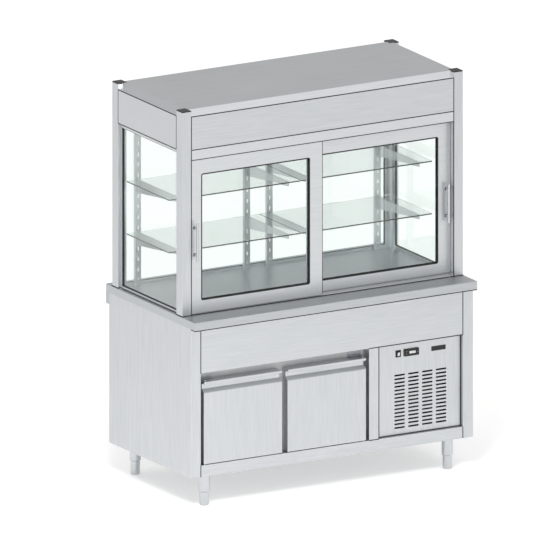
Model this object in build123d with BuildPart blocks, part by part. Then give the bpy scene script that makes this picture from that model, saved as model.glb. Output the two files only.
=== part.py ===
from build123d import *
import os

# Refrigerated display case: an insulated stainless base cabinet on adjustable feet, with a glazed
# display on its worktop. Millimetres. The origin is on the floor below the centre of the worktop,
# +X runs to the operator's right, +Y to the back and +Z up.

# Overall sizes
width = 1500.0
top_depth = 820.0
top_height = 900.0
case_height = 1876.0
leg_height = 150.0
sheet = 1.5
bend_radius = 2.5
fold_radius = 1.2

# Worktop
top_edge = 38.0
top_hem = 12.0
front_overhang = 40.0
apron_depth = 30.0
apron_height = 92.0

# Base cabinet
stile_width = 54.0
middle_stile_width = 52.0
rail_height = 55.0
fascia_height = 219.0
technical_width = 446.0
rebate_depth = 55.0
landing_thickness = 8.0
back_wall = 50.0
ceiling_wall = 50.0
liner_sheet = 1.0
liner_cove = 15.0
fold_step = 1.0

# Base doors
door_side_gap = 16.0
door_centre_gap = 28.0
door_floor_gap = 3.0
door_top_gap = 41.0
door_depth = 45.0
door_skin = 1.2
door_skin_return = 40.0
door_face_height = 341.0
shoulder_rise = 15.0
shoulder_depth = 20.0
lip_height = 13.0
lip_proud = 5.0
lip_end_radius = 6.0
lip_edge_radius = 2.5
recess_radius = 5.0
grip_edge_radius = 2.0
gasket_inset = 8.0
gasket_width = 14.0
gasket_gap = 0.5
pivot_inset = 12.0
pivot_depth = 12.0
hinge_pin_radius = 4.0
running_gap = 0.05
bracket_length = 66.0
bracket_sheet = 3.0
foot_bracket_sheet = 2.0
bracket_gap = 2.0
pin_depth = 14.0
pin_hole_depth = 15.0

# Legs
leg_inset = 104.0
front_leg_setback = 56.0
rear_leg_setback = 60.0
sleeve_radius = 26.5
sleeve_length = 86.0
sleeve_wall = 2.0
sleeve_nut = 20.0
sleeve_chamfer = 4.0
foot_radius = 22.0
foot_edge_radius = 4.0
stud_radius = 8.0
stud_length = 76.0

# Technical bay
panel_recess = 20.0
panel_flange = 15.0
slot_length = 56.0
slot_height = 8.0
slot_columns = 4
slot_rows = 15
slot_column_pitch = 73.4
slot_row_pitch = 17.84
slots_left_margin = 93.6
slots_bottom_margin = 30.4
controls_drop = 51.0
control_corner = 2.0
control_edge_radius = 1.0
switch_offset = 114.0
switch_width = 27.0
switch_height = 33.0
switch_wall = 4.0
switch_flange = 3.0
switch_body_depth = 24.0
rocker_gap = 0.5
rocker_tilt = 12.0
rocker_rise = 2.5
thermostat_offset = 183.0
thermostat_width = 77.0
thermostat_height = 34.0
thermostat_flange = 7.0
thermostat_border = 3.0
thermostat_depth = 55.0
window_width = 34.0
window_height = 13.0
window_shift = 4.0
window_depth = 1.5
key_width = 10.0
key_height = 7.0
key_rise = 1.2
key_depth = 4.0
key_corner = 1.0
key_gap = 0.3
key_travel = 1.0
key_spread = 28.0
key_pitch = 11.0
plate_offset = 328.0
plate_width = 75.0
plate_height = 22.0
plate_thickness = 1.2
plate_corner = 1.0

# Display
post_inset = 4.0
post_width = 49.0
post_depth = 55.0
post_wall = 2.0
post_radius = 2.0
cap_height = 5.0
cap_plug = 10.0
cap_gap = 0.3
cap_bevel = 1.5
front_post_setback = 125.0
rear_post_setback = 50.0
header_height = 159.0
header_depth = 18.0
roof_edge = 29.0
roof_drop = 1.0
track_height = 46.5
track_web = 5.0
track_lip = 2.5
bottom_track_sheet = 2.0
track_rib_width = 4.0
track_rib_height = 9.0

# Glass doors
glass_door_pitch = 24.0
glass_door_setback = 6.0
glass_door_thickness = 20.0
glass_door_floor_gap = 6.0
glass_door_bottom_rail = 58.5
glass_door_stile = 65.0
glass_door_top_rail = 101.0
door_in_track = 27.5
door_overlap = 62.0
door_meeting_shift = 30.0
first_door_bite = 9.0
door_end_gap = 1.0
glass_corner = 9.0
pane_thickness = 6.0
pane_bite = 8.0
groove_slack = 2.0
rib_gap = 1.0
handle_radius = 6.5
handle_length = 185.0
handle_end_radius = 3.0
standoff_radius = 5.0
standoff_pitch = 128.0
handle_reach = 26.0
handle_edge_distance = 30.0
second_handle_edge_distance = 23.0
handle_height = 350.0

# Fixed glazing
bead_width = 12.5
top_bead_width = 20.0
bead_depth = 18.0
bead_recess = 13.5

# Display fittings
ceiling_sheet = 1.5
ceiling_clearance = 1.0
ceiling_slot_length = 120.0
ceiling_slot_width = 8.0
ceiling_slots = 8
shelf_levels = (250.0, 500.0)
shelf_thickness = 6.0
shelf_depth = 380.0
shelf_side_gap = 18.0
shelf_split = 4.0
upright_width = 30.0
upright_depth = 16.0
upright_wall = 2.0
upright_slot_pitch = 50.0
upright_slot_length = 18.0
upright_slot_width = 5.0
bracket_plate = 3.0
bracket_root = 60.0
bracket_nose = 18.0
lamp_length = 1200.0
lamp_radius = 13.0

# Cold room fittings
rack_width = 20.0
rack_sheet = 2.0
rack_lip = 14.0
wire_radius = 3.0
wire_shelf_height = 190.0
wire_shelf_gap = 4.0
wire_count = 15

# Refrigeration
coil_depth = 150.0
coil_height = 90.0
coil_length = 560.0
fin_thickness = 1.5
fin_pitch = 14.0
pipe_radius = 4.0
pipe_bend = 25.0
condenser_width = 300.0
condenser_height = 260.0
condenser_depth = 60.0
fan_radius = 100.0
fan_clearance = 6.0
shroud_depth = 26.0
motor_radius = 28.0
motor_length = 45.0
motor_shaft_radius = 3.0
hub_radius = 24.0
hub_length = 14.0
blade_count = 5
blade_pitch = 28.0
blade_thickness = 1.6
small_fan_radius = 66.0
compressor_radius = 80.0
compressor_height = 190.0
tray_edge = 12.0
duct_radius = 16.0
duct_setback = 230.0
duct_drop = 46.0
pipe_spread = 7.0

# Fits and fittings that only one piece uses
doorway_radius = 12.0
mullion_depth = 35.0
bracket_nose_radius = 9.0
bracket_step = 18.0
back_slot_length = 90.0
back_slot_gap = 30.0
back_slot_pitch = 30.0
back_slot_rows = 10
rocker_pivot_depth = 5.0
rocker_tail = 6.0
rocker_pin_radius = 1.5
control_box_depth = 100.0
control_box_height = 70.0
duct_top_rise = 58.0
ceiling_slot_inset = 60.0
ceiling_slot_pitch = 150.0
upright_gap = 6.0
upright_inner_x = 60.0
upright_end_inset = 60.0
lamp_setback = 30.0
rack_back_gap = 60.0
rack_top = 60.0
fin_reach = 12.0
fin_margin = 2.0
arm_thickness = 3.0
arm_width = 14.0
arm_lap = 3.0
shaft_end_gap = 4.0
blade_chord = 34.0
small_shroud_border = 4.0
tray_margin = 15.0
tray_gap = 5.0
condenser_gap = 2.0
coil_end_gap = 60.0
hook_height = 12.0
shelf_front_lap = 10.0
shelf_back_gap = 2.0
compressor_plate_lap = 20.0
liquid_line_height = 60.0
liquid_line_offset = 35.0
suction_line_offset = 70.0
discharge_line_inset = 60.0
riser_spread = 15.0
riser_drops = (70.0, 100.0)
display_line_spread = 20.0
hub_lap = 2.0
rack_front_gap = 10.0
set_key_shift = 1.5
display_coil_length = 1180.0
compressor_foot = 8.0
compressor_foot_radius = 10.0
compressor_foot_pitch = (160.0, 128.0)
compressor_dome_radius = 36.0

# Planes and spans that the pieces share
left = -width / 2
right = width / 2
top_front = -top_depth / 2
top_back = top_depth / 2
body_front = top_front + front_overhang
body_back = top_back - apron_depth
body_top = top_height - top_edge
body_floor = leg_height + sheet
rail_top = leg_height + rail_height
fascia_bottom = body_top - fascia_height
landing_front = body_front + rebate_depth
landing_back = landing_front + landing_thickness
stile_left = left + stile_width
stile_right = right - stile_width
bay_left = stile_right - technical_width
divider_left = bay_left - middle_stile_width
room_x = (stile_left, divider_left)
room_y = (landing_back, body_back - back_wall)
room_z = (rail_top, body_top - ceiling_wall)
bay_x = (bay_left, stile_right)
panel_front = body_front + panel_recess

door_bottom = rail_top + door_floor_gap
door_top = fascia_bottom - door_top_gap
door_face_top = door_bottom + door_face_height
base_door_width = (divider_left - stile_left - 2 * door_side_gap - door_centre_gap) / 2
left_door_x = (stile_left + door_side_gap, stile_left + door_side_gap + base_door_width)
right_door_x = (left_door_x[1] + door_centre_gap, divider_left - door_side_gap)
door_back = body_front + door_depth
pivot_y = body_front + pivot_depth
left_pivot_x = left_door_x[0] + pivot_inset
right_pivot_x = right_door_x[1] - pivot_inset

post_left = left + post_inset
post_right = right - post_inset
post_inner_left = post_left + post_width
post_inner_right = post_right - post_width
post_front = top_front + front_post_setback
post_back = top_back - rear_post_setback
front_post_back = post_front + post_depth
rear_post_front = post_back - post_depth
post_top = case_height - cap_height
roof_bottom = case_height - roof_drop - roof_edge
header_bottom = roof_bottom - header_height
track_bottom = header_bottom - track_height

first_door_y = (post_front + glass_door_setback, post_front + glass_door_setback + glass_door_thickness)
second_door_y = (first_door_y[0] + glass_door_pitch, first_door_y[1] + glass_door_pitch)
door_meeting = (post_inner_left + post_inner_right) / 2 - door_meeting_shift
first_door_x = (post_inner_left - first_door_bite, door_meeting + door_overlap / 2)
second_door_x = (door_meeting - door_overlap / 2, post_inner_right - door_end_gap)
glass_door_z = (top_height + glass_door_floor_gap, track_bottom + door_in_track)
controls_z = fascia_bottom - controls_drop
duct_y = body_back - duct_setback
duct_z = room_z[1] - duct_drop
duct_top_z = header_bottom + duct_top_rise
pipe_x = post_inner_right + post_width / 2
pipe_y = rear_post_front + post_depth / 2

os.makedirs("parts", exist_ok=True)


def keep(piece, label):
    """Label a finished piece and write it to its own file."""
    piece.part.label = label
    export_step(piece.part, f"parts/{label}.step")


def keep_apart(pieces, label):
    """Write pieces that touch each other to one file, each as its own solid."""
    group = Compound(children=[piece.part.solid() for piece in pieces])
    group.label = label
    export_step(group, f"parts/{label}.step")


def middle(span):
    """Return the middle of a (low, high) span."""
    return (span[0] + span[1]) / 2


def inset(span, low, high=None):
    """Return a span drawn in at its two ends."""
    return (span[0] + low, span[1] - (low if high is None else high))


def cuboid(x, y, z, mode=Mode.ADD):
    """Add or cut a cuboid given by its three (low, high) spans."""
    with Locations((middle(x), middle(y), middle(z))):
        Box(x[1] - x[0], y[1] - y[0], z[1] - z[0], mode=mode)


def area(u, v, mode=Mode.ADD):
    """Add or cut a rectangle of a sketch given by its two (low, high) spans."""
    with Locations((middle(u), middle(v))):
        Rectangle(u[1] - u[0], v[1] - v[0], mode=mode)


def front_plane(y):
    """Return the upright plane at y whose drawing looks to the back: across is X, up is Z."""
    return Plane.XZ.offset(-y)


def side_plane(x):
    """Return the upright plane at x: across is Y, up is Z."""
    return Plane.YZ.offset(x)


def level(z):
    """Return the flat plane at height z."""
    return Plane.XY.offset(z)


# Worktop: a folded sheet tray with a hem along the front and a deep hollow apron behind
with BuildPart() as worktop:
    with BuildSketch(level(body_top)):
        Rectangle(width, top_depth)
    extrude(amount=top_edge)
    rim = worktop.faces().sort_by(Axis.Z)[-1].edges()
    corners = worktop.edges().filter_by(Axis.Z)
    fillet(rim + corners, bend_radius)
    tray_x = inset((left, right), sheet)
    cuboid(tray_x, inset((top_front, top_back), sheet), (body_top, top_height - sheet), Mode.SUBTRACT)
    cuboid(tray_x, (top_front + sheet, top_front + top_hem), (body_top, body_top + sheet))
    with BuildSketch(level(top_height - apron_height)):
        area((left, right), (body_back, top_back))
    extrude(amount=apron_height - top_edge)
    apron_z = (top_height - apron_height + sheet, body_top + sheet)
    cuboid(tray_x, (body_back + sheet, top_back - sheet), apron_z, Mode.SUBTRACT)
    with Locations((pipe_x, pipe_y, top_height)):
        Cylinder(duct_radius, 2 * top_edge, mode=Mode.SUBTRACT)
keep(worktop, "worktop")

# Outer panels: each side is one folded sheet that turns into the front stile and back into the rebate;
# the dividing panel does the same round the middle stile
with BuildPart() as outer_panels:
    with BuildSketch(level(leg_height)):
        area((left, left + sheet), (body_front, body_back))
        area((left, stile_left), (body_front, body_front + sheet))
        area((stile_left - sheet, stile_left), (body_front, landing_back))
        mirror(about=Plane.YZ)
    extrude(amount=body_top - leg_height)
    with BuildSketch(level(rail_top)):
        area((divider_left, bay_left), (body_front, body_front + sheet))
        area((divider_left, divider_left + sheet), (body_front, landing_front))
        area((bay_left - sheet, bay_left), (body_front, landing_back))
    extrude(amount=fascia_bottom - fold_step - rail_top)
    cuboid((bay_left - sheet, bay_left), (landing_back, body_back - sheet), (body_floor, body_top))
    fold_edges = outer_panels.edges().filter_by(Axis.Z).group_by(Axis.Y)[0]
    fillet(fold_edges, fold_radius)
    with Locations(Location((bay_left, duct_y, duct_z), (0, 90, 0))):
        Cylinder(duct_radius, 4 * sheet, mode=Mode.SUBTRACT)
keep(outer_panels, "outer_panels")

# Floor pan: the bottom sheet, folded up in front as the bottom rail
with BuildPart() as floor_pan:
    with BuildSketch(side_plane(stile_left)):
        area((body_front, body_back - sheet), (leg_height, body_floor))
        area((body_front, body_front + sheet), (leg_height, rail_top))
        area((body_front, landing_back), (rail_top - sheet, rail_top))
    extrude(amount=stile_right - stile_left)
    for side in (-1, 1):
        panel_x = side * (right - sheet)
        behind_x = sorted((panel_x, side * stile_right))
        stile_x = sorted((panel_x, side * (stile_right + sheet)))
        cuboid(behind_x, (landing_back, body_back - sheet), (leg_height, body_floor))
        cuboid(stile_x, (body_front + sheet, landing_back), (leg_height, body_floor))
keep(floor_pan, "floor_pan")

# Fascia: a shallow folded panel above the doors and the technical bay
with BuildPart() as fascia:
    with BuildSketch(side_plane(stile_left)):
        area((body_front, body_front + sheet), (fascia_bottom, body_top))
        area((body_front, landing_front), (fascia_bottom, fascia_bottom + sheet))
        area((body_front, landing_front), (body_top - sheet, body_top))
    extrude(amount=stile_right - stile_left)
    fillet(fascia.edges().filter_by(Axis.X).group_by(Axis.Y)[0], fold_radius)
keep(fascia, "fascia")

# Back panel: closes the cabinet behind, with air slots behind the technical bay
with BuildPart() as back_panel:
    with BuildSketch(front_plane(body_back - sheet)):
        area(inset((left, right), sheet), (leg_height, body_top))
        with Locations((middle((bay_left, right)), middle((leg_height, body_top)))):
            with GridLocations(back_slot_length + back_slot_gap, back_slot_pitch, 3, back_slot_rows):
                SlotOverall(back_slot_length, slot_height, mode=Mode.SUBTRACT)
    extrude(amount=-sheet)
keep(back_panel, "back_panel")

# Insulation: foam slabs round the cold room and the core under the worktop sheet
foam_y = (landing_back, body_back - sheet)
with BuildPart() as side_foam:
    cuboid((left + sheet, room_x[0]), foam_y, (body_floor, body_top))
with BuildPart() as divider_foam:
    cuboid((room_x[1], bay_left - sheet), foam_y, (body_floor, body_top))
    with Locations(Location((middle((divider_left, bay_left)), duct_y, duct_z), (0, 90, 0))):
        Cylinder(duct_radius, 2 * middle_stile_width, mode=Mode.SUBTRACT)
with BuildPart() as floor_foam:
    cuboid(room_x, foam_y, (body_floor, room_z[0]))
with BuildPart() as ceiling_foam:
    cuboid(room_x, foam_y, (room_z[1], body_top))
with BuildPart() as back_foam:
    cuboid(room_x, (room_y[1], foam_y[1]), room_z)
with BuildPart() as worktop_core:
    cuboid(tray_x, inset((top_front, top_back), sheet), (body_top + sheet, top_height - sheet))
    with Locations((pipe_x, pipe_y, middle((body_top, top_height)))):
        Cylinder(duct_radius, top_edge, mode=Mode.SUBTRACT)
keep_apart((side_foam, divider_foam, floor_foam, ceiling_foam, back_foam, worktop_core), "insulation")

# Cold room liner: one coved tank, open in front
with BuildPart() as cold_room_liner:
    cuboid(room_x, room_y, room_z)
    rear_edges = cold_room_liner.faces().sort_by(Axis.Y)[-1].edges()
    fillet(cold_room_liner.edges().filter_by(Axis.Y) + rear_edges, liner_cove)
    offset(amount=-liner_sheet, openings=cold_room_liner.faces().sort_by(Axis.Y)[0])
    with Locations(Location((divider_left, duct_y, duct_z), (0, 90, 0))):
        Cylinder(duct_radius, 4 * liner_sheet, mode=Mode.SUBTRACT)
keep(cold_room_liner, "cold_room_liner")

# Door landing frame: the face that the gaskets meet, with the mullion between the two doorways
doorway_inset = gasket_inset + gasket_width
mullion_x = (left_door_x[1] - doorway_inset, right_door_x[0] + doorway_inset)
with BuildPart() as door_landing_frame:
    with BuildSketch(front_plane(landing_front)):
        area(room_x, room_z)
        for span in (left_door_x, right_door_x):
            doorway_height = door_top - door_bottom - 2 * doorway_inset
            with Locations((middle(span), middle((door_bottom, door_top)))):
                RectangleRounded(
                    base_door_width - 2 * doorway_inset, doorway_height, doorway_radius, mode=Mode.SUBTRACT
                )
    extrude(amount=-landing_thickness)
    cuboid(mullion_x, (landing_back, landing_back + mullion_depth), inset(room_z, liner_sheet))
keep(door_landing_frame, "door_landing_frame")

# Hinge brackets: a stepped plate with a pin above and below each door's outer edge
with BuildPart() as hinge_brackets:
    for pivot_x, inward in ((left_pivot_x, 1), (right_pivot_x, -1)):
        root = sorted((pivot_x - inward * pivot_inset, pivot_x + inward * (bracket_length - pivot_inset)))
        neck = (pivot_x - bracket_nose_radius, pivot_x + bracket_nose_radius)
        top_plate = (door_top + bracket_gap, door_top + bracket_gap + bracket_sheet)
        foot_plate = (rail_top, rail_top + foot_bracket_sheet)
        for plate in (top_plate, foot_plate):
            with BuildSketch(level(plate[0])):
                area(root, (landing_front - bracket_step, landing_front))
                area(neck, (pivot_y, landing_front))
                with Locations((pivot_x, pivot_y)):
                    Circle(bracket_nose_radius)
            extrude(amount=plate[1] - plate[0])
        flange_z = (top_plate[0], fascia_bottom - bracket_gap)
        cuboid(root, (landing_front - bracket_sheet, landing_front), flange_z)
        pins = ((door_top - pin_depth, top_plate[0]), (foot_plate[1], door_bottom + pin_depth))
        for low, high in pins:
            with BuildSketch(level(low)):
                with Locations((pivot_x, pivot_y)):
                    Circle(hinge_pin_radius)
            extrude(amount=high - low)
keep(hinge_brackets, "hinge_brackets")

# Leg sleeves: round tubes below the floor pan, each closed below by a threaded nut
leg_x = width / 2 - leg_inset
front_leg_y = body_front + front_leg_setback
rear_leg_y = body_back - rear_leg_setback
leg_spots = {
    "front_left": (-leg_x, front_leg_y),
    "front_right": (leg_x, front_leg_y),
    "rear_left": (-leg_x, rear_leg_y),
    "rear_right": (leg_x, rear_leg_y),
}
sleeve_bottom = leg_height - sleeve_length
with BuildPart() as leg_sleeves:
    with BuildSketch(level(sleeve_bottom)):
        with Locations(*leg_spots.values()):
            Circle(sleeve_radius)
    extrude(amount=sleeve_length)
    with BuildSketch(level(sleeve_bottom)):
        with Locations(*leg_spots.values()):
            Circle(stud_radius + running_gap)
    extrude(amount=sleeve_nut, mode=Mode.SUBTRACT)
    with BuildSketch(level(sleeve_bottom + sleeve_nut)):
        with Locations(*leg_spots.values()):
            Circle(sleeve_radius - sleeve_wall)
    extrude(amount=sleeve_length - sleeve_nut - 2 * sleeve_wall, mode=Mode.SUBTRACT)
    lower_rims = leg_sleeves.edges().filter_by(GeomType.CIRCLE).group_by(Axis.Z)[0]
    chamfer(lower_rims.filter_by(lambda rim: rim.radius > foot_radius), sleeve_chamfer)
keep(leg_sleeves, "leg_sleeves")


def make_foot(spot):
    """Make one adjustable foot: a round shoe on a stud that screws up into the sleeve."""
    with BuildPart() as foot:
        with BuildSketch():
            with Locations(leg_spots[spot]):
                Circle(foot_radius)
        extrude(amount=sleeve_bottom)
        fillet(foot.edges().group_by(Axis.Z)[0], foot_edge_radius)
        with BuildSketch(level(sleeve_bottom)):
            with Locations(leg_spots[spot]):
                Circle(stud_radius)
        extrude(amount=stud_length)
    keep(foot, f"{spot}_foot")


for spot in leg_spots:
    make_foot(spot)


def make_base_door(side, x, pivot_x):
    """Make one insulated door: its skin, core, grip and gasket, at rest and closed."""
    name = f"{side}_base_door"
    core_back = body_front + door_skin_return
    with BuildPart() as skin:
        cuboid(x, (body_front, core_back), (door_bottom, door_face_top))
        front_edges = skin.faces().sort_by(Axis.Y)[0].edges()
        fillet(front_edges, grip_edge_radius)
        cuboid(
            inset(x, door_skin),
            (body_front + door_skin, core_back),
            inset((door_bottom, door_face_top), door_skin),
            Mode.SUBTRACT,
        )
        with Locations((pivot_x, pivot_y, door_bottom)):
            Cylinder(hinge_pin_radius + running_gap, 4 * door_skin, mode=Mode.SUBTRACT)
    keep(skin, f"{name}_skin")

    with BuildPart() as core:
        cuboid(
            inset(x, door_skin),
            (body_front + door_skin, core_back),
            inset((door_bottom, door_face_top), door_skin),
        )
        cuboid(x, (core_back, door_back), (door_bottom, door_face_top))
        with Locations((pivot_x, pivot_y, door_bottom)):
            Cylinder(hinge_pin_radius + running_gap, 2 * pin_hole_depth, mode=Mode.SUBTRACT)
    keep(core, f"{name}_core")

    shoulder_y = body_front + shoulder_depth
    lip_z = door_top - lip_height
    lip_y = body_front - lip_proud
    with BuildPart() as grip:
        with BuildSketch(side_plane(x[0])) as grip_profile:
            with BuildLine():
                Polyline(
                    (body_front, door_face_top),
                    (shoulder_y, door_face_top + shoulder_rise),
                    (shoulder_y, lip_z),
                    (lip_y, lip_z),
                    (lip_y, door_top),
                    (door_back, door_top),
                    (door_back, door_face_top),
                    close=True,
                )
            make_face()
            fillet(grip_profile.vertices().group_by(Axis.X)[0], lip_edge_radius)
            recess_corner = grip_profile.vertices().filter_by_position(
                Axis.X, shoulder_y - fold_step, shoulder_y + fold_step
            )
            fillet(recess_corner.sort_by(Axis.Y)[-1], recess_radius)
        extrude(amount=x[1] - x[0])
        lip_ends = grip.edges().filter_by(Axis.Z).group_by(Axis.Y)[0]
        fillet(lip_ends, lip_end_radius)
        with Locations((pivot_x, pivot_y, door_top)):
            Cylinder(hinge_pin_radius + running_gap, 2 * pin_hole_depth, mode=Mode.SUBTRACT)
    keep(grip, f"{name}_grip")

    with BuildPart() as gasket:
        with BuildSketch(front_plane(door_back)):
            area(inset(x, gasket_inset), inset((door_bottom, door_top), gasket_inset))
            area(inset(x, doorway_inset), inset((door_bottom, door_top), doorway_inset), Mode.SUBTRACT)
        extrude(amount=-(landing_front - door_back - gasket_gap))
    keep(gasket, f"{name}_gasket")


make_base_door("left", left_door_x, left_pivot_x)
make_base_door("right", right_door_x, right_pivot_x)

# Louvre panel: recessed, folded all round, with a field of round-ended slots and two control cut-outs
switch_spot = (bay_left + switch_offset, controls_z)
thermostat_spot = (bay_left + thermostat_offset, controls_z)
switch_body = (switch_width - 2 * switch_flange, switch_height - 2 * switch_flange)
thermostat_body = (thermostat_width - 2 * thermostat_border, thermostat_height - 2 * thermostat_border)
slots_x = bay_left + slots_left_margin + slot_length / 2 + slot_column_pitch * (slot_columns - 1) / 2
slots_z = rail_top + slots_bottom_margin + slot_height / 2 + slot_row_pitch * (slot_rows - 1) / 2
with BuildPart() as louvre_panel:
    panel_z = (rail_top, fascia_bottom)
    with BuildSketch(front_plane(panel_front)):
        area(bay_x, panel_z)
    extrude(amount=-panel_flange)
    cuboid(
        inset(bay_x, sheet),
        (panel_front + sheet, panel_front + panel_flange),
        inset(panel_z, sheet),
        Mode.SUBTRACT,
    )
    with BuildSketch(front_plane(panel_front)):
        with Locations((slots_x, slots_z)):
            with GridLocations(slot_column_pitch, slot_row_pitch, slot_columns, slot_rows):
                SlotOverall(slot_length, slot_height)
        with Locations(switch_spot):
            Rectangle(*switch_body)
        with Locations(thermostat_spot):
            Rectangle(*thermostat_body)
    extrude(amount=-sheet, mode=Mode.SUBTRACT)
keep(louvre_panel, "louvre_panel")

# Blank plate: a bare plate on the louvre panel
with BuildPart() as blank_plate:
    with BuildSketch(front_plane(panel_front)):
        with Locations((bay_left + plate_offset, controls_z)):
            RectangleRounded(plate_width, plate_height, plate_corner)
    extrude(amount=plate_thickness)
keep(blank_plate, "blank_plate")

# Rocker switch: a flanged frame with a body behind the panel, and a rocker on two stub pins
rocker_y = panel_front - switch_flange + rocker_pivot_depth
rocker_radius = switch_height / 2 - switch_wall - rocker_gap
rocker_half = switch_width / 2 - switch_wall - rocker_gap
with BuildPart() as switch_bezel:
    with BuildSketch(front_plane(panel_front)):
        with Locations(switch_spot):
            RectangleRounded(switch_width, switch_height, control_corner)
    extrude(amount=switch_flange)
    fillet(switch_bezel.faces().sort_by(Axis.Y)[0].edges(), control_edge_radius)
    with BuildSketch(front_plane(panel_front)):
        with Locations(switch_spot):
            Rectangle(*switch_body)
    extrude(amount=-switch_body_depth)
    with BuildSketch(front_plane(panel_front - switch_flange)):
        with Locations(switch_spot):
            Rectangle(switch_width - 2 * switch_wall, switch_height - 2 * switch_wall)
    extrude(amount=-(rocker_pivot_depth + rocker_radius + rocker_gap), mode=Mode.SUBTRACT)
    with Locations(Location((switch_spot[0], rocker_y, controls_z), (0, 90, 0))):
        Cylinder(rocker_pin_radius + running_gap, switch_body[0], mode=Mode.SUBTRACT)
keep(switch_bezel, "switch_bezel")

with BuildPart() as rocker:
    with BuildSketch(side_plane(switch_spot[0] - rocker_half)):
        with Locations((rocker_y, controls_z)):
            Circle(rocker_radius)
        rocker_depth = (rocker_y - rocker_pivot_depth - rocker_rise, rocker_y + rocker_tail)
        rocker_z = (controls_z - rocker_radius, controls_z + rocker_radius)
        area(rocker_depth, rocker_z, Mode.INTERSECT)
    extrude(amount=2 * rocker_half)
    with Locations(Location((switch_spot[0], rocker_y, controls_z), (0, 90, 0))):
        Cylinder(rocker_pin_radius, switch_body[0] - rocker_gap)
rocker_axis = Axis((0, rocker_y, controls_z), (1, 0, 0))
with BuildPart() as switch_rocker:
    add(rocker.part.rotate(rocker_axis, rocker_tilt))
keep(switch_rocker, "switch_rocker")

# Thermostat: a flanged digital controller with a sunk window and three keys
thermostat_front = panel_front - thermostat_flange
window_x = thermostat_spot[0] + window_shift
key_spots = {
    "up_key": (thermostat_spot[0] - key_spread, controls_z + key_pitch / 2),
    "down_key": (thermostat_spot[0] - key_spread, controls_z - key_pitch / 2),
    "set_key": (thermostat_spot[0] + key_spread + set_key_shift, controls_z),
}
with BuildPart() as thermostat:
    with BuildSketch(front_plane(panel_front)):
        with Locations(thermostat_spot):
            RectangleRounded(thermostat_width, thermostat_height, control_corner)
    extrude(amount=thermostat_flange)
    fillet(thermostat.faces().sort_by(Axis.Y)[0].edges(), control_edge_radius)
    with BuildSketch(front_plane(panel_front)):
        with Locations(thermostat_spot):
            Rectangle(*thermostat_body)
    extrude(amount=-thermostat_depth)
    with BuildSketch(front_plane(thermostat_front)):
        with Locations((window_x, controls_z)):
            Rectangle(window_width, window_height)
    extrude(amount=-window_depth, mode=Mode.SUBTRACT)
    with BuildSketch(front_plane(thermostat_front)):
        with Locations(*key_spots.values()):
            Rectangle(key_width + 2 * key_gap, key_height + 2 * key_gap)
    extrude(amount=-(key_depth - key_rise + key_travel + key_gap), mode=Mode.SUBTRACT)
keep(thermostat, "thermostat")


def make_key(name):
    """Make one thermostat key, standing a little proud of the controller's face."""
    with BuildPart() as key:
        with BuildSketch(front_plane(thermostat_front - key_rise)):
            with Locations(key_spots[name]):
                RectangleRounded(key_width, key_height, key_corner)
        extrude(amount=-key_depth)
    keep(key, name)


for name in key_spots:
    make_key(name)

# Control box: an open-fronted box behind the louvre panel round the switch and the controller
with BuildPart() as control_box:
    box_x = (switch_spot[0] - switch_width, thermostat_spot[0] + thermostat_width)
    box_y = (panel_front + sheet, panel_front + sheet + control_box_depth)
    box_z = (controls_z - control_box_height / 2, controls_z + control_box_height / 2)
    cuboid(box_x, box_y, box_z)
    offset(amount=-sheet, openings=control_box.faces().sort_by(Axis.Y)[0])
keep(control_box, "control_box")

# Corner posts: hollow uprights; the front left one has a groove for the first door's edge
front_left_post = ((post_left, post_inner_left), (post_front, front_post_back))
post_spans = (
    front_left_post,
    ((post_inner_right, post_right), (post_front, front_post_back)),
    ((post_left, post_inner_left), (rear_post_front, post_back)),
    ((post_inner_right, post_right), (rear_post_front, post_back)),
)
post_centres = [(middle(x), middle(y)) for x, y in post_spans]
groove_x = (first_door_x[0] - door_end_gap, post_inner_left)
groove_y = (first_door_y[0] - rib_gap, first_door_y[1] + rib_gap)
chamber_x = (post_left + post_wall, groove_x[0] - post_wall)
with BuildPart() as corner_posts:
    with BuildSketch(level(top_height)):
        with Locations(*post_centres):
            RectangleRounded(post_width, post_depth, post_radius)
            Rectangle(post_width - 2 * post_wall, post_depth - 2 * post_wall, mode=Mode.SUBTRACT)
        area((chamber_x[1], post_inner_left - post_radius), inset(front_left_post[1], post_wall))
        area(groove_x, groove_y, Mode.SUBTRACT)
        pocket_y = (groove_y[1] + post_wall, front_post_back - post_wall)
        area(inset(groove_x, 0, post_wall), pocket_y, Mode.SUBTRACT)
    extrude(amount=post_top - top_height)
    with Locations(Location((pipe_x, rear_post_front, duct_top_z), (90, 0, 0))):
        Cylinder(duct_radius, 4 * post_wall, mode=Mode.SUBTRACT)
keep(corner_posts, "corner_posts")

# Post caps: bevelled plugs in the tops of the posts
with BuildPart() as post_caps:
    with BuildSketch(level(post_top)):
        with Locations(*post_centres):
            RectangleRounded(post_width, post_depth, post_radius)
    extrude(amount=cap_height)
    chamfer(post_caps.edges().group_by(Axis.Z)[-1], cap_bevel)
    with BuildSketch(level(post_top - cap_plug)):
        area(inset(chamber_x, cap_gap), inset(front_left_post[1], post_wall + cap_gap))
        with Locations(*post_centres[1:]):
            plug_margin = 2 * (post_wall + cap_gap)
            Rectangle(post_width - plug_margin, post_depth - plug_margin)
    extrude(amount=cap_plug)
keep(post_caps, "post_caps")

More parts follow.
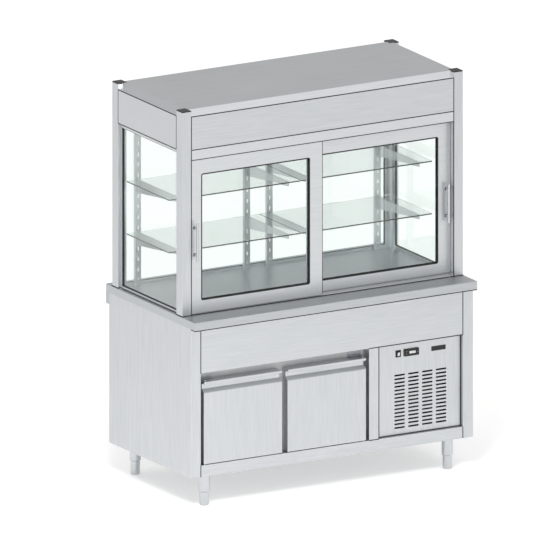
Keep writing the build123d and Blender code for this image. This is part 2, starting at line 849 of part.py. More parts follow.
# Header: four folded channels between the posts
header_z = (header_bottom, roof_bottom)
header_feet = ((header_z[0], header_z[0] + sheet), (header_z[1] - sheet, header_z[1]))
with BuildPart() as header:
    with BuildSketch(side_plane(post_inner_left)):
        area((post_front, post_front + sheet), header_z)
        area((post_back - sheet, post_back), header_z)
        for foot in header_feet:
            area((post_front, post_front + header_depth), foot)
            area((post_back - header_depth, post_back), foot)
    extrude(amount=post_inner_right - post_inner_left)
    with BuildSketch(front_plane(front_post_back)):
        area((post_left, post_left + sheet), header_z)
        for foot in header_feet:
            area((post_left, post_left + header_depth), foot)
        mirror(about=Plane.YZ)
    extrude(amount=-(rear_post_front - front_post_back))
keep(header, "header")

# Roof: a shallow tray turned upside down, with bevelled edges, notched round the posts
with BuildPart() as roof:
    with BuildSketch(level(roof_bottom)):
        area((post_left, post_right), (post_front, post_back))
    extrude(amount=roof_edge, taper=45)
    offset(amount=-sheet, openings=roof.faces().sort_by(Axis.Z)[0])
    for x, y in post_spans:
        roof_z = (roof_bottom - sheet, case_height)
        notch_x = (x[0] - cap_gap, x[1] + cap_gap)
        cuboid(notch_x, (y[0] - cap_gap, y[1] + cap_gap), roof_z, Mode.SUBTRACT)
keep(roof, "roof")

# Door tracks: a three-lipped rail under the header and a ribbed sill on the worktop
rib_top = top_height + bottom_track_sheet + track_rib_height
with BuildPart() as door_tracks:
    with BuildSketch(side_plane(post_inner_left)):
        track_z = (track_bottom, header_bottom)
        area((post_front, front_post_back), (header_bottom - track_web, header_bottom))
        area((post_front, post_front + track_lip), track_z)
        area((first_door_y[1] + rib_gap, second_door_y[0] - rib_gap), track_z)
        area((front_post_back - track_lip, front_post_back), track_z)
        area((post_front, front_post_back), (top_height, top_height + bottom_track_sheet))
        for door_y in (first_door_y, second_door_y):
            rib_y = (middle(door_y) - track_rib_width / 2, middle(door_y) + track_rib_width / 2)
            area(rib_y, (top_height, rib_top))
    extrude(amount=post_inner_right - post_inner_left)
keep(door_tracks, "door_tracks")


def make_glass_door(side, x, y, handle_x):
    """Make one sliding door: a framed pane and its bar handle, closed."""
    name = f"{side}_glass_door"
    z = glass_door_z
    opening_x = inset(x, glass_door_stile)
    opening_z = inset(z, glass_door_bottom_rail, glass_door_top_rail)
    pane_y = (middle(y) - pane_thickness / 2, middle(y) + pane_thickness / 2)
    seat = pane_bite + groove_slack
    with BuildPart() as frame:
        with BuildSketch(front_plane(y[0])):
            area(x, z)
            with Locations((middle(opening_x), middle(opening_z))):
                sight = (opening_x[1] - opening_x[0], opening_z[1] - opening_z[0])
                RectangleRounded(*sight, glass_corner, mode=Mode.SUBTRACT)
        extrude(amount=-glass_door_thickness)
        cuboid(inset(opening_x, -seat), pane_y, inset(opening_z, -seat), Mode.SUBTRACT)
        rib_half = track_rib_width / 2 + rib_gap
        cuboid(x, (middle(y) - rib_half, middle(y) + rib_half), (z[0], rib_top), Mode.SUBTRACT)
    keep(frame, f"{name}_frame")

    with BuildPart() as pane:
        cuboid(inset(opening_x, -pane_bite), pane_y, (opening_z[0] - seat, opening_z[1] + pane_bite))
    keep(pane, f"{name}_pane")

    bar_y = y[0] - handle_reach
    bar_z = top_height + handle_height
    with BuildPart() as handle:
        with Locations((handle_x, bar_y, bar_z)):
            Cylinder(handle_radius, handle_length)
        fillet(handle.edges().filter_by(GeomType.CIRCLE), handle_end_radius)
        for standoff_z in (bar_z - standoff_pitch / 2, bar_z + standoff_pitch / 2):
            with Locations(Location((handle_x, middle((bar_y, y[0])), standoff_z), (90, 0, 0))):
                Cylinder(standoff_radius, handle_reach)
    keep(handle, f"{name}_handle")


make_glass_door("left", first_door_x, first_door_y, first_door_x[0] + handle_edge_distance)
make_glass_door("right", second_door_x, second_door_y, second_door_x[1] - second_handle_edge_distance)

# Fixed glazing: a bead ring and a pane between the posts at each side and behind
glazing_z = (top_height, header_bottom)
sight_z = (glazing_z[0] + bead_width, glazing_z[1] - top_bead_width)
side_y = (front_post_back, rear_post_front)
rear_x = (post_inner_left, post_inner_right)
left_bead_x = (post_left + bead_recess, post_left + bead_recess + bead_depth)
right_bead_x = (-left_bead_x[1], -left_bead_x[0])
rear_bead_y = (post_back - bead_recess - bead_depth, post_back - bead_recess)
seat = pane_bite + groove_slack


def slice_of(span):
    """Return the middle of a bead's depth, as thick as a pane."""
    return (middle(span) - pane_thickness / 2, middle(span) + pane_thickness / 2)


with BuildPart() as pane_beads:
    for x in (left_bead_x, right_bead_x):
        cuboid(x, side_y, glazing_z)
        cuboid(x, inset(side_y, bead_width), sight_z, Mode.SUBTRACT)
        cuboid(slice_of(x), inset(side_y, bead_width - seat), inset(sight_z, -seat), Mode.SUBTRACT)
    cuboid(rear_x, rear_bead_y, glazing_z)
    cuboid(inset(rear_x, bead_width), rear_bead_y, sight_z, Mode.SUBTRACT)
    cuboid(inset(rear_x, bead_width - seat), slice_of(rear_bead_y), inset(sight_z, -seat), Mode.SUBTRACT)
keep(pane_beads, "pane_beads")

with BuildPart() as fixed_panes:
    pane_z = (sight_z[0] - seat, sight_z[1] + pane_bite)
    for x in (left_bead_x, right_bead_x):
        cuboid(slice_of(x), inset(side_y, bead_width - pane_bite), pane_z)
    cuboid(inset(rear_x, bead_width - pane_bite), slice_of(rear_bead_y), pane_z)
keep(fixed_panes, "fixed_panes")

# Ceiling panel: rests on the header's lower returns, with air slots along the front and the back
ceiling_z = (header_bottom + sheet, header_bottom + sheet + ceiling_sheet)
ceiling_margin = sheet + ceiling_clearance
ceiling_x = inset((post_left, post_right), ceiling_margin)
ceiling_y = inset((post_front, post_back), ceiling_margin)
with BuildPart() as ceiling_panel:
    cuboid(ceiling_x, ceiling_y, ceiling_z)
    for x, y in post_spans:
        notch_x = (x[0] - ceiling_clearance, x[1] + ceiling_clearance)
        notch_y = (y[0] - ceiling_clearance, y[1] + ceiling_clearance)
        cuboid(notch_x, notch_y, inset(ceiling_z, -sheet), Mode.SUBTRACT)
    with BuildSketch(level(ceiling_z[0])):
        for slot_y in (front_post_back + ceiling_slot_inset, rear_post_front - ceiling_slot_inset):
            with Locations((0, slot_y)):
                with GridLocations(ceiling_slot_pitch, 1, ceiling_slots, 1):
                    SlotOverall(ceiling_slot_length, ceiling_slot_width)
    extrude(amount=ceiling_sheet, mode=Mode.SUBTRACT)
keep(ceiling_panel, "ceiling_panel")

# Shelf uprights and brackets: slotted channels before the rear glass, with cantilever arms hooked in
upright_y = (rear_bead_y[0] - upright_gap - upright_depth, rear_bead_y[0] - upright_gap)
upright_z = (top_height, ceiling_z[0])
shelf_x = inset((left_bead_x[1], right_bead_x[0]), shelf_side_gap)
half_shelf = shelf_x[1] - shelf_split / 2
upright_xs = [side * share for side in (-1, 1) for share in (upright_inner_x, half_shelf - upright_end_inset)]
upright_slots = int((upright_z[1] - upright_z[0]) / upright_slot_pitch)
slot_zs = [top_height + upright_slot_pitch * (n + 0.5) for n in range(upright_slots)]
with BuildPart() as shelf_uprights:
    for x in upright_xs:
        x_span = (x - upright_width / 2, x + upright_width / 2)
        hollow_y = (upright_y[0] + upright_wall, upright_y[1])
        cuboid(x_span, upright_y, upright_z)
        cuboid(inset(x_span, upright_wall), hollow_y, upright_z, Mode.SUBTRACT)
    with BuildSketch(front_plane(upright_y[0])):
        with Locations(*[(x, z) for x in upright_xs for z in slot_zs]):
            Rectangle(upright_slot_width, upright_slot_length)
    extrude(amount=-upright_wall, mode=Mode.SUBTRACT)
keep(shelf_uprights, "shelf_uprights")

with BuildPart() as shelf_brackets:
    for x in upright_xs:
        for rise in shelf_levels:
            z = top_height + rise
            with BuildSketch(side_plane(x - bracket_plate / 2)):
                with BuildLine():
                    Polyline(
                        (upright_y[0], z),
                        (upright_y[0] - shelf_depth, z),
                        (upright_y[0] - shelf_depth, z - bracket_nose),
                        (upright_y[0], z - bracket_root),
                        close=True,
                    )
                make_face()
                hook_z = z - upright_slot_pitch / 2
                hook_span = (hook_z - hook_height / 2, hook_z + hook_height / 2)
                area((upright_y[0], upright_y[0] + 2 * upright_wall), hook_span)
            extrude(amount=bracket_plate)
keep(shelf_brackets, "shelf_brackets")

with BuildPart() as glass_shelves:
    for rise in shelf_levels:
        for x in ((shelf_x[0], -shelf_split / 2), (shelf_split / 2, shelf_x[1])):
            z = top_height + rise
            y = (upright_y[0] - shelf_depth - shelf_front_lap, upright_y[0] - shelf_back_gap)
            cuboid(x, y, (z, z + shelf_thickness))
keep(glass_shelves, "glass_shelves")

# Lamp: a slim light under the ceiling panel, behind the doors
lamp_y = front_post_back + lamp_setback
with BuildPart() as lamp:
    with BuildSketch(side_plane(-lamp_length / 2)):
        area((lamp_y - lamp_radius, lamp_y + lamp_radius), (ceiling_z[0] - lamp_radius, ceiling_z[0]))
        with Locations((lamp_y, ceiling_z[0] - lamp_radius)):
            Circle(lamp_radius)
    extrude(amount=lamp_length)
keep(lamp, "lamp")

# Shelf supports: slotless racks on the cold room's walls and in its middle, each with a slide angle
rack_y = (room_y[0] + mullion_depth + rack_front_gap, room_y[1] - rack_back_gap)
floor_z = room_z[0] + liner_sheet
rack_level = floor_z + wire_shelf_height
room_middle = middle(mullion_x)
wall_racks = ((room_x[0] + liner_sheet, 1), (room_x[1] - liner_sheet, -1))
middle_racks = ((room_middle, 1), (room_middle, -1))
with BuildPart() as shelf_supports:
    for racks, foot_z in ((wall_racks, floor_z + liner_cove), (middle_racks, floor_z)):
        for x, inward in racks:
            face = x + inward * rack_sheet
            upright_x = sorted((x, face))
            for y in (rack_y[0] + rack_width, rack_y[1] - rack_width):
                cuboid(upright_x, (y - rack_width / 2, y + rack_width / 2), (foot_z, rack_level + rack_top))
            cuboid(upright_x, rack_y, (rack_level - rack_lip, rack_level + rack_lip))
            cuboid(sorted((x, face + inward * rack_lip)), rack_y, (rack_level - rack_sheet, rack_level))
keep(shelf_supports, "shelf_supports")

# Wire shelves: a frame with lengthwise wires, resting on the slides of each bay
shelf_spans = (
    inset((wall_racks[0][0] + rack_sheet, room_middle - rack_sheet), wire_shelf_gap),
    inset((room_middle + rack_sheet, wall_racks[1][0] - rack_sheet), wire_shelf_gap),
)
wire_z = rack_level + wire_radius
with BuildPart() as wire_shelves:
    for x in shelf_spans:
        inner = inset(x, wire_radius)
        pitch = (inner[1] - inner[0]) / (wire_count - 1)
        with BuildSketch(front_plane(rack_y[0])):
            with Locations(*[(inner[0] + n * pitch, wire_z) for n in range(wire_count)]):
                RegularPolygon(wire_radius, 6, major_radius=False)
        extrude(amount=-(rack_y[1] - rack_y[0]))
        with BuildSketch(side_plane(inner[0])):
            rails = (rack_y[0] + wire_radius, middle(rack_y), rack_y[1] - wire_radius)
            with Locations(*[(y, wire_z) for y in rails]):
                RegularPolygon(wire_radius, 6, major_radius=False)
        extrude(amount=inner[1] - inner[0])
keep(wire_shelves, "wire_shelves")


def finned_coil(x, y, z):
    """Add a finned coil: two end plates, a core and the fins standing out of it all round."""
    cuboid(inset(x, fin_thickness), inset(y, fin_reach), inset(z, fin_reach))
    for end_x in ((x[0], x[0] + 2 * fin_thickness), (x[1] - 2 * fin_thickness, x[1])):
        cuboid(end_x, y, z)
    count = int((x[1] - x[0]) / fin_pitch) - 1
    with Locations((middle(x), middle(y), middle(z))):
        with GridLocations(fin_pitch, 1, count, 1):
            Box(fin_thickness, y[1] - y[0] - 2 * fin_margin, z[1] - z[0] - 2 * fin_margin)


def fan_frame(x, y, z, fan_x, fan_z, radius, forward):
    """Add a fan's shroud, spider arms and motor; forward is 1 when the motor stands behind."""
    cuboid(x, y, z)
    bore_y = middle(y)
    with Locations(Location((fan_x, bore_y, fan_z), (90, 0, 0))):
        Cylinder(radius + fan_clearance, y[1] - y[0], mode=Mode.SUBTRACT)
    rim = y[1] if forward > 0 else y[0]
    arm_y = sorted((rim, rim + forward * arm_thickness))
    reach = radius + fan_clearance + arm_lap
    cuboid((fan_x - reach, fan_x + reach), arm_y, (fan_z - arm_width / 2, fan_z + arm_width / 2))
    cuboid((fan_x - arm_width / 2, fan_x + arm_width / 2), arm_y, (fan_z - reach, fan_z + reach))
    motor_y = rim + forward * (arm_thickness + motor_length / 2)
    with Locations(Location((fan_x, motor_y, fan_z), (90, 0, 0))):
        Cylinder(motor_radius, motor_length)
    shaft = y[1] - y[0] - shaft_end_gap
    with Locations(Location((fan_x, rim - forward * shaft / 2, fan_z), (90, 0, 0))):
        Cylinder(motor_shaft_radius, shaft)


def make_fan(name, fan_x, fan_y, fan_z, radius):
    """Make one fan rotor: a bored hub with pitched blades."""
    blade_length = radius - hub_radius + hub_lap
    with BuildPart(Plane(origin=(fan_x, fan_y, fan_z), x_dir=(1, 0, 0), z_dir=(0, -1, 0))) as fan:
        with PolarLocations(hub_radius - hub_lap + blade_length / 2, blade_count):
            Box(blade_length, blade_chord, blade_thickness, rotation=(blade_pitch, 0, 0))
        Cylinder(hub_radius, hub_length)
        Cylinder(motor_shaft_radius + running_gap, 2 * hub_length, mode=Mode.SUBTRACT)
    keep(fan, name)


# Unit tray: carries the compressor and the condenser on the cabinet's floor
tray_x_span = inset((bay_left, right), tray_margin)
tray_y_span = (landing_back + tray_gap, body_back - tray_margin)
tray_top = body_floor + sheet
with BuildPart() as unit_tray:
    cuboid(tray_x_span, tray_y_span, (body_floor, tray_top + tray_edge))
    tray_hollow_z = (tray_top, tray_top + tray_edge)
    cuboid(inset(tray_x_span, sheet), inset(tray_y_span, sheet), tray_hollow_z, Mode.SUBTRACT)
keep(unit_tray, "unit_tray")

# Condenser: a finned coil behind the louvre panel
condenser_middle = middle(bay_x)
condenser_x = (condenser_middle - condenser_width / 2, condenser_middle + condenser_width / 2)
condenser_front = tray_y_span[0] + sheet + condenser_gap
condenser_y = (condenser_front, condenser_front + condenser_depth)
condenser_z = (tray_top, tray_top + condenser_height)
with BuildPart() as condenser:
    finned_coil(condenser_x, condenser_y, condenser_z)
keep(condenser, "condenser")

# Base evaporator: hangs from the cold room's ceiling behind the fascia
liner_top = room_z[1] - liner_sheet
coil_x = (divider_left - coil_end_gap - coil_length, divider_left - coil_end_gap)
coil_y = (duct_y - coil_depth / 2, duct_y + coil_depth / 2)
with BuildPart() as base_evaporator:
    finned_coil(coil_x, coil_y, (liner_top - coil_height, liner_top))
keep(base_evaporator, "base_evaporator")

# Display evaporator: stands on the ceiling panel inside the header
display_coil_x = (-display_coil_length / 2, display_coil_length / 2)
display_mid_y = middle((post_front, post_back))
display_coil_y = (display_mid_y - coil_depth / 2, display_mid_y + coil_depth / 2)
with BuildPart() as display_evaporator:
    finned_coil(display_coil_x, display_coil_y, (ceiling_z[1], ceiling_z[1] + coil_height))
keep(display_evaporator, "display_evaporator")

# Fan motors: the condenser's behind its coil, the evaporator's in front of its coil
condenser_shroud_y = (condenser_y[1], condenser_y[1] + shroud_depth)
condenser_fan_z = middle(condenser_z)
small_box = small_fan_radius + fan_clearance + small_shroud_border
small_fan_x = middle(coil_x)
small_fan_z = liner_top - small_box
small_shroud_y = (coil_y[0] - shroud_depth, coil_y[0])
with BuildPart() as fan_motors:
    fan_frame(
        condenser_x, condenser_shroud_y, condenser_z, condenser_middle, condenser_fan_z, fan_radius, 1
    )
    fan_frame(
        (small_fan_x - small_box, small_fan_x + small_box),
        small_shroud_y,
        (small_fan_z - small_box, liner_top),
        small_fan_x,
        small_fan_z,
        small_fan_radius,
        -1,
    )
keep(fan_motors, "fan_motors")
make_fan("condenser_fan", condenser_middle, middle(condenser_shroud_y), condenser_fan_z, fan_radius)
make_fan("evaporator_fan", small_fan_x, middle(small_shroud_y), small_fan_z, small_fan_radius)

# Compressor: a domed hermetic can on a plate with four rubber feet
compressor_x = condenser_middle
compressor_y = duct_y + pipe_spread
plate_z = tray_top + compressor_foot
plate_reach = compressor_radius + compressor_plate_lap
compressor_z = plate_z + 2 * sheet + compressor_height / 2
compressor_top = compressor_z + compressor_height / 2
with BuildPart() as compressor:
    with Locations((compressor_x, compressor_y, compressor_z)):
        Cylinder(compressor_radius, compressor_height)
    fillet(compressor.edges().filter_by(GeomType.CIRCLE), compressor_dome_radius)
    cuboid(
        (compressor_x - plate_reach, compressor_x + plate_reach),
        (compressor_y - compressor_radius, compressor_y + compressor_radius),
        (plate_z, plate_z + 2 * sheet),
    )
    with BuildSketch(level(tray_top)):
        with Locations((compressor_x, compressor_y)):
            with GridLocations(*compressor_foot_pitch, 2, 2):
                Circle(compressor_foot_radius)
    extrude(amount=compressor_foot)
keep(compressor, "compressor")

# Pipes: swept tubes between the compressor, the condenser and the two evaporators
low_z = tray_top + liquid_line_height
condenser_mid_y = middle(condenser_y)
suction_y = duct_y + pipe_spread
suction_x = bay_left + suction_line_offset
liquid_y = duct_y - pipe_spread
liquid_x = bay_left + liquid_line_offset
discharge_x = right - discharge_line_inset
suction_route = (
    (coil_x[1], suction_y, duct_z),
    (suction_x, suction_y, duct_z),
    (suction_x, suction_y, compressor_z),
    (compressor_x - compressor_radius, suction_y, compressor_z),
)
liquid_route = (
    (condenser_x[0], condenser_mid_y, low_z),
    (liquid_x, condenser_mid_y, low_z),
    (liquid_x, liquid_y, low_z),
    (liquid_x, liquid_y, duct_z),
    (coil_x[1], liquid_y, duct_z),
)
discharge_route = (
    (compressor_x + compressor_radius, compressor_y, compressor_z),
    (discharge_x, compressor_y, compressor_z),
    (discharge_x, condenser_mid_y, compressor_z),
    (condenser_x[1], condenser_mid_y, compressor_z),
)


def riser_route(side, drop):
    """Return the route of one pipe up through the rear right post to the display evaporator."""
    low = fascia_bottom - drop
    start_x = compressor_x + side * riser_spread
    riser_x = pipe_x + side * pipe_spread
    end_y = display_mid_y - side * display_line_spread
    return (
        (start_x, compressor_y, compressor_top),
        (start_x, compressor_y, low),
        (riser_x, compressor_y, low),
        (riser_x, pipe_y, low),
        (riser_x, pipe_y, duct_top_z),
        (riser_x, end_y, duct_top_z),
        (display_coil_x[1], end_y, duct_top_z),
    )


pipe_routes = (
    suction_route,
    liquid_route,
    discharge_route,
    riser_route(-1, riser_drops[0]),
    riser_route(1, riser_drops[1]),
)
with BuildPart() as refrigerant_pipes:
    for route in pipe_routes:
        with BuildLine() as path:
            FilletPolyline(*route, radius=pipe_bend)
        with BuildSketch(Plane(origin=path.line @ 0, z_dir=path.line % 0)):
            Circle(pipe_radius)
        sweep(path=path.line)
keep(refrigerant_pipes, "refrigerant_pipes")
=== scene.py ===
"""Looks of a refrigerated display case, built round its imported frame.

Every length is in metres, with the origin on the floor below the middle of the worktop, +X to the
right of someone who faces the doors, +Y to the back and +Z up.
"""

import logging
import math
from collections.abc import Iterable
from dataclasses import dataclass, replace
from enum import Enum
from functools import reduce

import bmesh
import bpy
import numpy as np
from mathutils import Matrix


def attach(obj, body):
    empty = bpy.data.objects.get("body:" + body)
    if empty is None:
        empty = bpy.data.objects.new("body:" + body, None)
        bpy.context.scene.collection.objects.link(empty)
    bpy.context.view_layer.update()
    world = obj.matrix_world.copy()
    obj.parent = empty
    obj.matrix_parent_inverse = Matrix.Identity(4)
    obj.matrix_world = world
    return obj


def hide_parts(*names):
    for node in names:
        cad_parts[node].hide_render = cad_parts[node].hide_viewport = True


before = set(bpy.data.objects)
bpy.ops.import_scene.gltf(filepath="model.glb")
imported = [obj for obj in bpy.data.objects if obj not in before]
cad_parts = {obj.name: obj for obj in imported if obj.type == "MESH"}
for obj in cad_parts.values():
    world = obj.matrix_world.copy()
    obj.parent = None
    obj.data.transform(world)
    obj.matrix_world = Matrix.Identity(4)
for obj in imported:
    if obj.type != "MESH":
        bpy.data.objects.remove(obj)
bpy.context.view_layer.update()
NODES: dict[str, bpy.types.Object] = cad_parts
MM = 0.001

Pair = tuple[float, float]
Span = tuple[float, float]
Tree = bpy.types.NodeTree
Socket = bpy.types.NodeSocket

log = logging.getLogger("display_case")


class Grain(Enum):
    """The direction in which a sheet was brushed or rolled."""

    ALONG_X = (1.0, 0.0, 0.0)
    ALONG_Y = (0.0, 1.0, 0.0)
    ALONG_Z = (0.0, 0.0, 1.0)


def linear(code: str) -> tuple[float, float, float, float]:
    """Turn an sRGB hex colour into linear RGBA.

    Each channel c is c / 12.92 below 0.04045, and ((c + 0.055) / 1.055) to the power 2.4 above.

    Args:
        code: the colour as "#RRGGBB".

    Returns:
        The four linear channels.
    """
    channels = np.array([int(code[n : n + 2], 16) for n in (1, 3, 5)]) / 255
    curved = ((channels + 0.055) / 1.055) ** 2.4
    rgb = np.where(channels <= 0.04045, channels / 12.92, curved)
    return (*rgb.tolist(), 1.0)


def empty_tree(owner: bpy.types.Material | bpy.types.World) -> Tree:
    """Turn on the nodes of a material or a world, and clear them.

    Args:
        owner: the material or world.

    Returns:
        Its node tree.
    """
    owner.use_nodes = True
    owner.node_tree.nodes.clear()
    return owner.node_tree


def add_node(
    tree: Tree,
    kind: str,
    settings: dict[str | int, object] | None = None,
    links: dict[str | int, Socket] | None = None,
) -> bpy.types.Node:
    """Add one node, set its sockets or properties, and link what feeds it.

    Args:
        tree: the node tree.
        kind: the node's class name, without "ShaderNode".
        settings: values by socket name, socket number or property name.
        links: the output sockets that feed the node, by socket name or number.

    Returns:
        The node.
    """
    node = tree.nodes.new(f"ShaderNode{kind}")
    for key, value in (settings or {}).items():
        if isinstance(key, int) or key in node.inputs:
            node.inputs[key].default_value = value
        else:
            setattr(node, key, value)
    for key, source in (links or {}).items():
        tree.links.new(source, node.inputs[key])
    return node


# A noise mostly lies between these two values.
NOISE_LOW, NOISE_HIGH = 0.3, 0.7
# Patches of handling and wiping repeat some four times in a metre.
WEAR_SCALE = 4.0
# Grit stands out of a surface by this share of its spacing.
RELIEF = 0.2


@dataclass(frozen=True)
class Finish:
    """A finish of this product: a principled shader with a pattern that reads Object coordinates.

    The edge is the radius in millimetres to which the shader rounds the piece's edges, as a press
    brake or a deburring wheel leaves them.
    """

    name: str
    colour: str
    shade: str
    roughness: float
    metallic: float = 0.0
    grit_mm: float = 2.0
    bump: float = 0.05
    spread: float = 0.08
    edge_mm: float = 0.0

    def material(self) -> bpy.types.Material:
        """Make the finish's material at the first call, and find it again later.

        Returns:
            The material.
        """
        made = bpy.data.materials.get(self.name)
        if made is not None:
            return made
        made = bpy.data.materials.new(self.name)
        tree = empty_tree(made)
        coords = add_node(tree, "TexCoord").outputs["Object"]
        shader = add_node(tree, "BsdfPrincipled", self.even_values(), self.dress(tree, coords))
        add_node(tree, "OutputMaterial", links={"Surface": self.surface(tree, shader)})
        return made

    def even_values(self) -> dict[str, float]:
        """Return the shader's values that are the same all over the piece."""
        return {"Metallic": self.metallic}

    def surface(self, tree: Tree, shader: bpy.types.Node) -> Socket:
        """Return the socket that feeds the material's output."""
        return shader.outputs["BSDF"]

    def stretch(self, tree: Tree, coords: Socket) -> Socket:
        """Return the coordinates that the pattern reads, here as they are."""
        return coords

    def tinted(self, tree: Tree, fac: Socket) -> Socket:
        """Return the blend of the finish's two tones by a factor."""
        tones = {"data_type": "RGBA", 6: linear(self.colour), 7: linear(self.shade)}
        return add_node(tree, "Mix", tones, {0: fac}).outputs[2]

    def rough_ends(self) -> dict[str, float]:
        """Return the two ends of the roughness, as a range node takes them."""
        return {"To Min": self.roughness - self.spread, "To Max": self.roughness + self.spread}

    def dress(self, tree: Tree, coords: Socket) -> dict[str, Socket]:
        """Draw colour and bump from a noise of the grit's size, and roughness from one of wear too.

        Args:
            tree: the material's node tree.
            coords: the Object coordinates.

        Returns:
            What feeds the shader, by the names of its inputs.
        """
        fine = {"Scale": 1 / (self.grit_mm * MM), "Detail": 3.0}
        grit = add_node(tree, "TexNoise", fine, {"Vector": self.stretch(tree, coords)}).outputs["Fac"]
        broad = {"Scale": WEAR_SCALE, "Detail": 5.0}
        wear = add_node(tree, "TexNoise", broad, {"Vector": coords}).outputs["Fac"]
        tint = add_node(tree, "MapRange", {"From Min": NOISE_LOW, "From Max": NOISE_HIGH}, {"Value": grit})
        summed = add_node(tree, "Math", {"operation": "ADD"}, {0: grit, 1: wear})
        span = {"From Min": 2 * NOISE_LOW, "From Max": 2 * NOISE_HIGH} | self.rough_ends()
        rough = add_node(tree, "MapRange", span, {"Value": summed.outputs[0]})
        under = {"Height": grit}
        if self.edge_mm:
            turned = add_node(tree, "Bevel", {"samples": 4, "Radius": self.edge_mm * MM})
            under["Normal"] = turned.outputs[0]
        depth = self.grit_mm * MM * RELIEF
        relief = add_node(tree, "Bump", {"Strength": self.bump, "Distance": depth}, under)
        tone = self.tinted(tree, tint.outputs[0])
        return {"Base Color": tone, "Roughness": rough.outputs[0], "Normal": relief.outputs[0]}


@dataclass(frozen=True)
class BrushedSheet(Finish):
    """Sheet metal brushed in one direction: long fine scratches that stretch its highlights."""

    grain: Grain = Grain.ALONG_X
    run: float = 60.0

    def stretch(self, tree: Tree, coords: Socket) -> Socket:
        """Return coordinates shortened run times along the grain, which turns grit into scratches."""
        scale = tuple(1 - (1 - 1 / self.run) * share for share in self.grain.value)
        return add_node(tree, "Mapping", {"Scale": scale}, {"Vector": coords}).outputs[0]


@dataclass(frozen=True)
class Spangle(Finish):
    """Hot-dip galvanised sheet: flat crystals, each with its own shine."""

    def dress(self, tree: Tree, coords: Socket) -> dict[str, Socket]:
        """Give each Voronoi cell of the crystal's size its own tint and roughness.

        Args:
            tree: the material's node tree.
            coords: the Object coordinates.

        Returns:
            What feeds the shader, by the names of its inputs.
        """
        cells = add_node(tree, "TexVoronoi", {"Scale": 1 / (self.grit_mm * MM)}, {"Vector": coords})
        grey = add_node(tree, "RGBToBW", links={0: cells.outputs["Color"]}).outputs[0]
        rough = add_node(tree, "MapRange", self.rough_ends(), {"Value": grey}).outputs[0]
        return {"Base Color": self.tinted(tree, grey), "Roughness": rough}


@dataclass(frozen=True)
class Glass(Finish):
    """Float glass: clear, with a faint cast in its thickness and a faint haze from wiping."""

    ior: float = 1.46
    streaks: Span = (0.45, 0.8)

    def even_values(self) -> dict[str, float]:
        """Return what lets the light through and how far it bends."""
        return {"Metallic": self.metallic, "Transmission Weight": 1.0, "IOR": self.ior}

    def dress(self, tree: Tree, coords: Socket) -> dict[str, Socket]:
        """Draw the haze as slow streaks in the roughness, where a coarse noise is high.

        Args:
            tree: the material's node tree.
            coords: the Object coordinates.

        Returns:
            What feeds the shader, by the names of its inputs.
        """
        coarse = {"Scale": 1 / (self.grit_mm * MM), "Detail": 2.0}
        haze = add_node(tree, "TexNoise", coarse, {"Vector": coords}).outputs["Fac"]
        ends = {"From Min": self.streaks[0], "From Max": self.streaks[1], "To Max": self.roughness}
        rough = add_node(tree, "MapRange", ends, {"Value": haze}).outputs[0]
        return {"Base Color": self.tinted(tree, haze), "Roughness": rough}

    def surface(self, tree: Tree, shader: bpy.types.Node) -> Socket:
        """Let shadow rays straight through, so that what stands behind the glass is lit.

        Args:
            tree: the material's node tree.
            shader: the principled shader.

        Returns:
            The socket that feeds the material's output.
        """
        path = add_node(tree, "LightPath").outputs["Is Shadow Ray"]
        clear = add_node(tree, "BsdfTransparent", {"Color": linear(self.colour)}).outputs[0]
        return add_node(tree, "MixShader", links={0: path, 1: shader.outputs[0], 2: clear}).outputs[0]


# 1.4301 stainless sheet with a grit 220 brushed face: bright and even, with fine drawn-out highlights.
# The scratches are some 0.1 mm apart in truth and are drawn at 2.4 mm, so that the grain can be seen.
STEEL_X = BrushedSheet(
    "stainless_brushed_across", "#CFD1D3", "#C2C5C8",
    roughness=0.38, metallic=1.0, grit_mm=2.4, bump=0.1, spread=0.05, edge_mm=1.2,
)
STEEL_Y = replace(STEEL_X, name="stainless_brushed_to_back", grain=Grain.ALONG_Y)
STEEL_Z = replace(STEEL_X, name="stainless_brushed_upright", grain=Grain.ALONG_Z)
# The worktop's thicker sheet: ground once more than the rest, so that it is a little deeper in tone.
STEEL_TOP = replace(
    STEEL_X,
    name="stainless_ground_worktop", colour="#BFC2C5", shade="#B2B6BA", roughness=0.34, edge_mm=2.0,
)
# Ground and polished tube: closer highlights than the sheet, with faint draw marks.
STEEL_TURNED = Finish(
    "stainless_polished_tube", "#CBCDCF", "#B9BCBF",
    roughness=0.22, metallic=1.0, grit_mm=1.2, bump=0.04, spread=0.04, edge_mm=0.6,
)
# Extruded aluminium with a satin clear anodised skin: softer and a little whiter than the steel.
ANODISED = BrushedSheet(
    "anodised_aluminium_profile", "#D6D8DA", "#CBCED0",
    roughness=0.42, metallic=1.0, grit_mm=1.6, spread=0.04, edge_mm=0.8,
)
# Toughened float glass: clear, and only faintly cooler than what stands behind it.
FLOAT_GLASS = Glass("float_glass", "#FBFEFD", "#F7FCFA", roughness=0.02, grit_mm=90.0)
# Injection-moulded ABS with a fine spark-eroded texture: black with a soft sheen.
BLACK_ABS = Finish(
    "moulded_black_abs", "#141517", "#1D1E21",
    roughness=0.46, grit_mm=0.7, bump=0.25, spread=0.06, edge_mm=0.5,
)
# Extruded rigid PVC: white and satin, with hardly any pattern.
WHITE_PVC = Finish(
    "extruded_white_pvc", "#ECEDED", "#E4E5E5",
    roughness=0.42, grit_mm=3.0, bump=0.03, spread=0.06, edge_mm=0.5,
)
# Extruded EPDM: black and matt, with the chalky bloom of rubber.
BLACK_EPDM = Finish("extruded_black_epdm", "#1A1B1C", "#242526", roughness=0.7, grit_mm=0.9, bump=0.3)
# Soft PVC with a magnet strip inside: grey and matt.
GREY_GASKET = Finish("grey_magnetic_gasket", "#5A5C5E", "#4B4D50", roughness=0.72, grit_mm=1.0, bump=0.3)
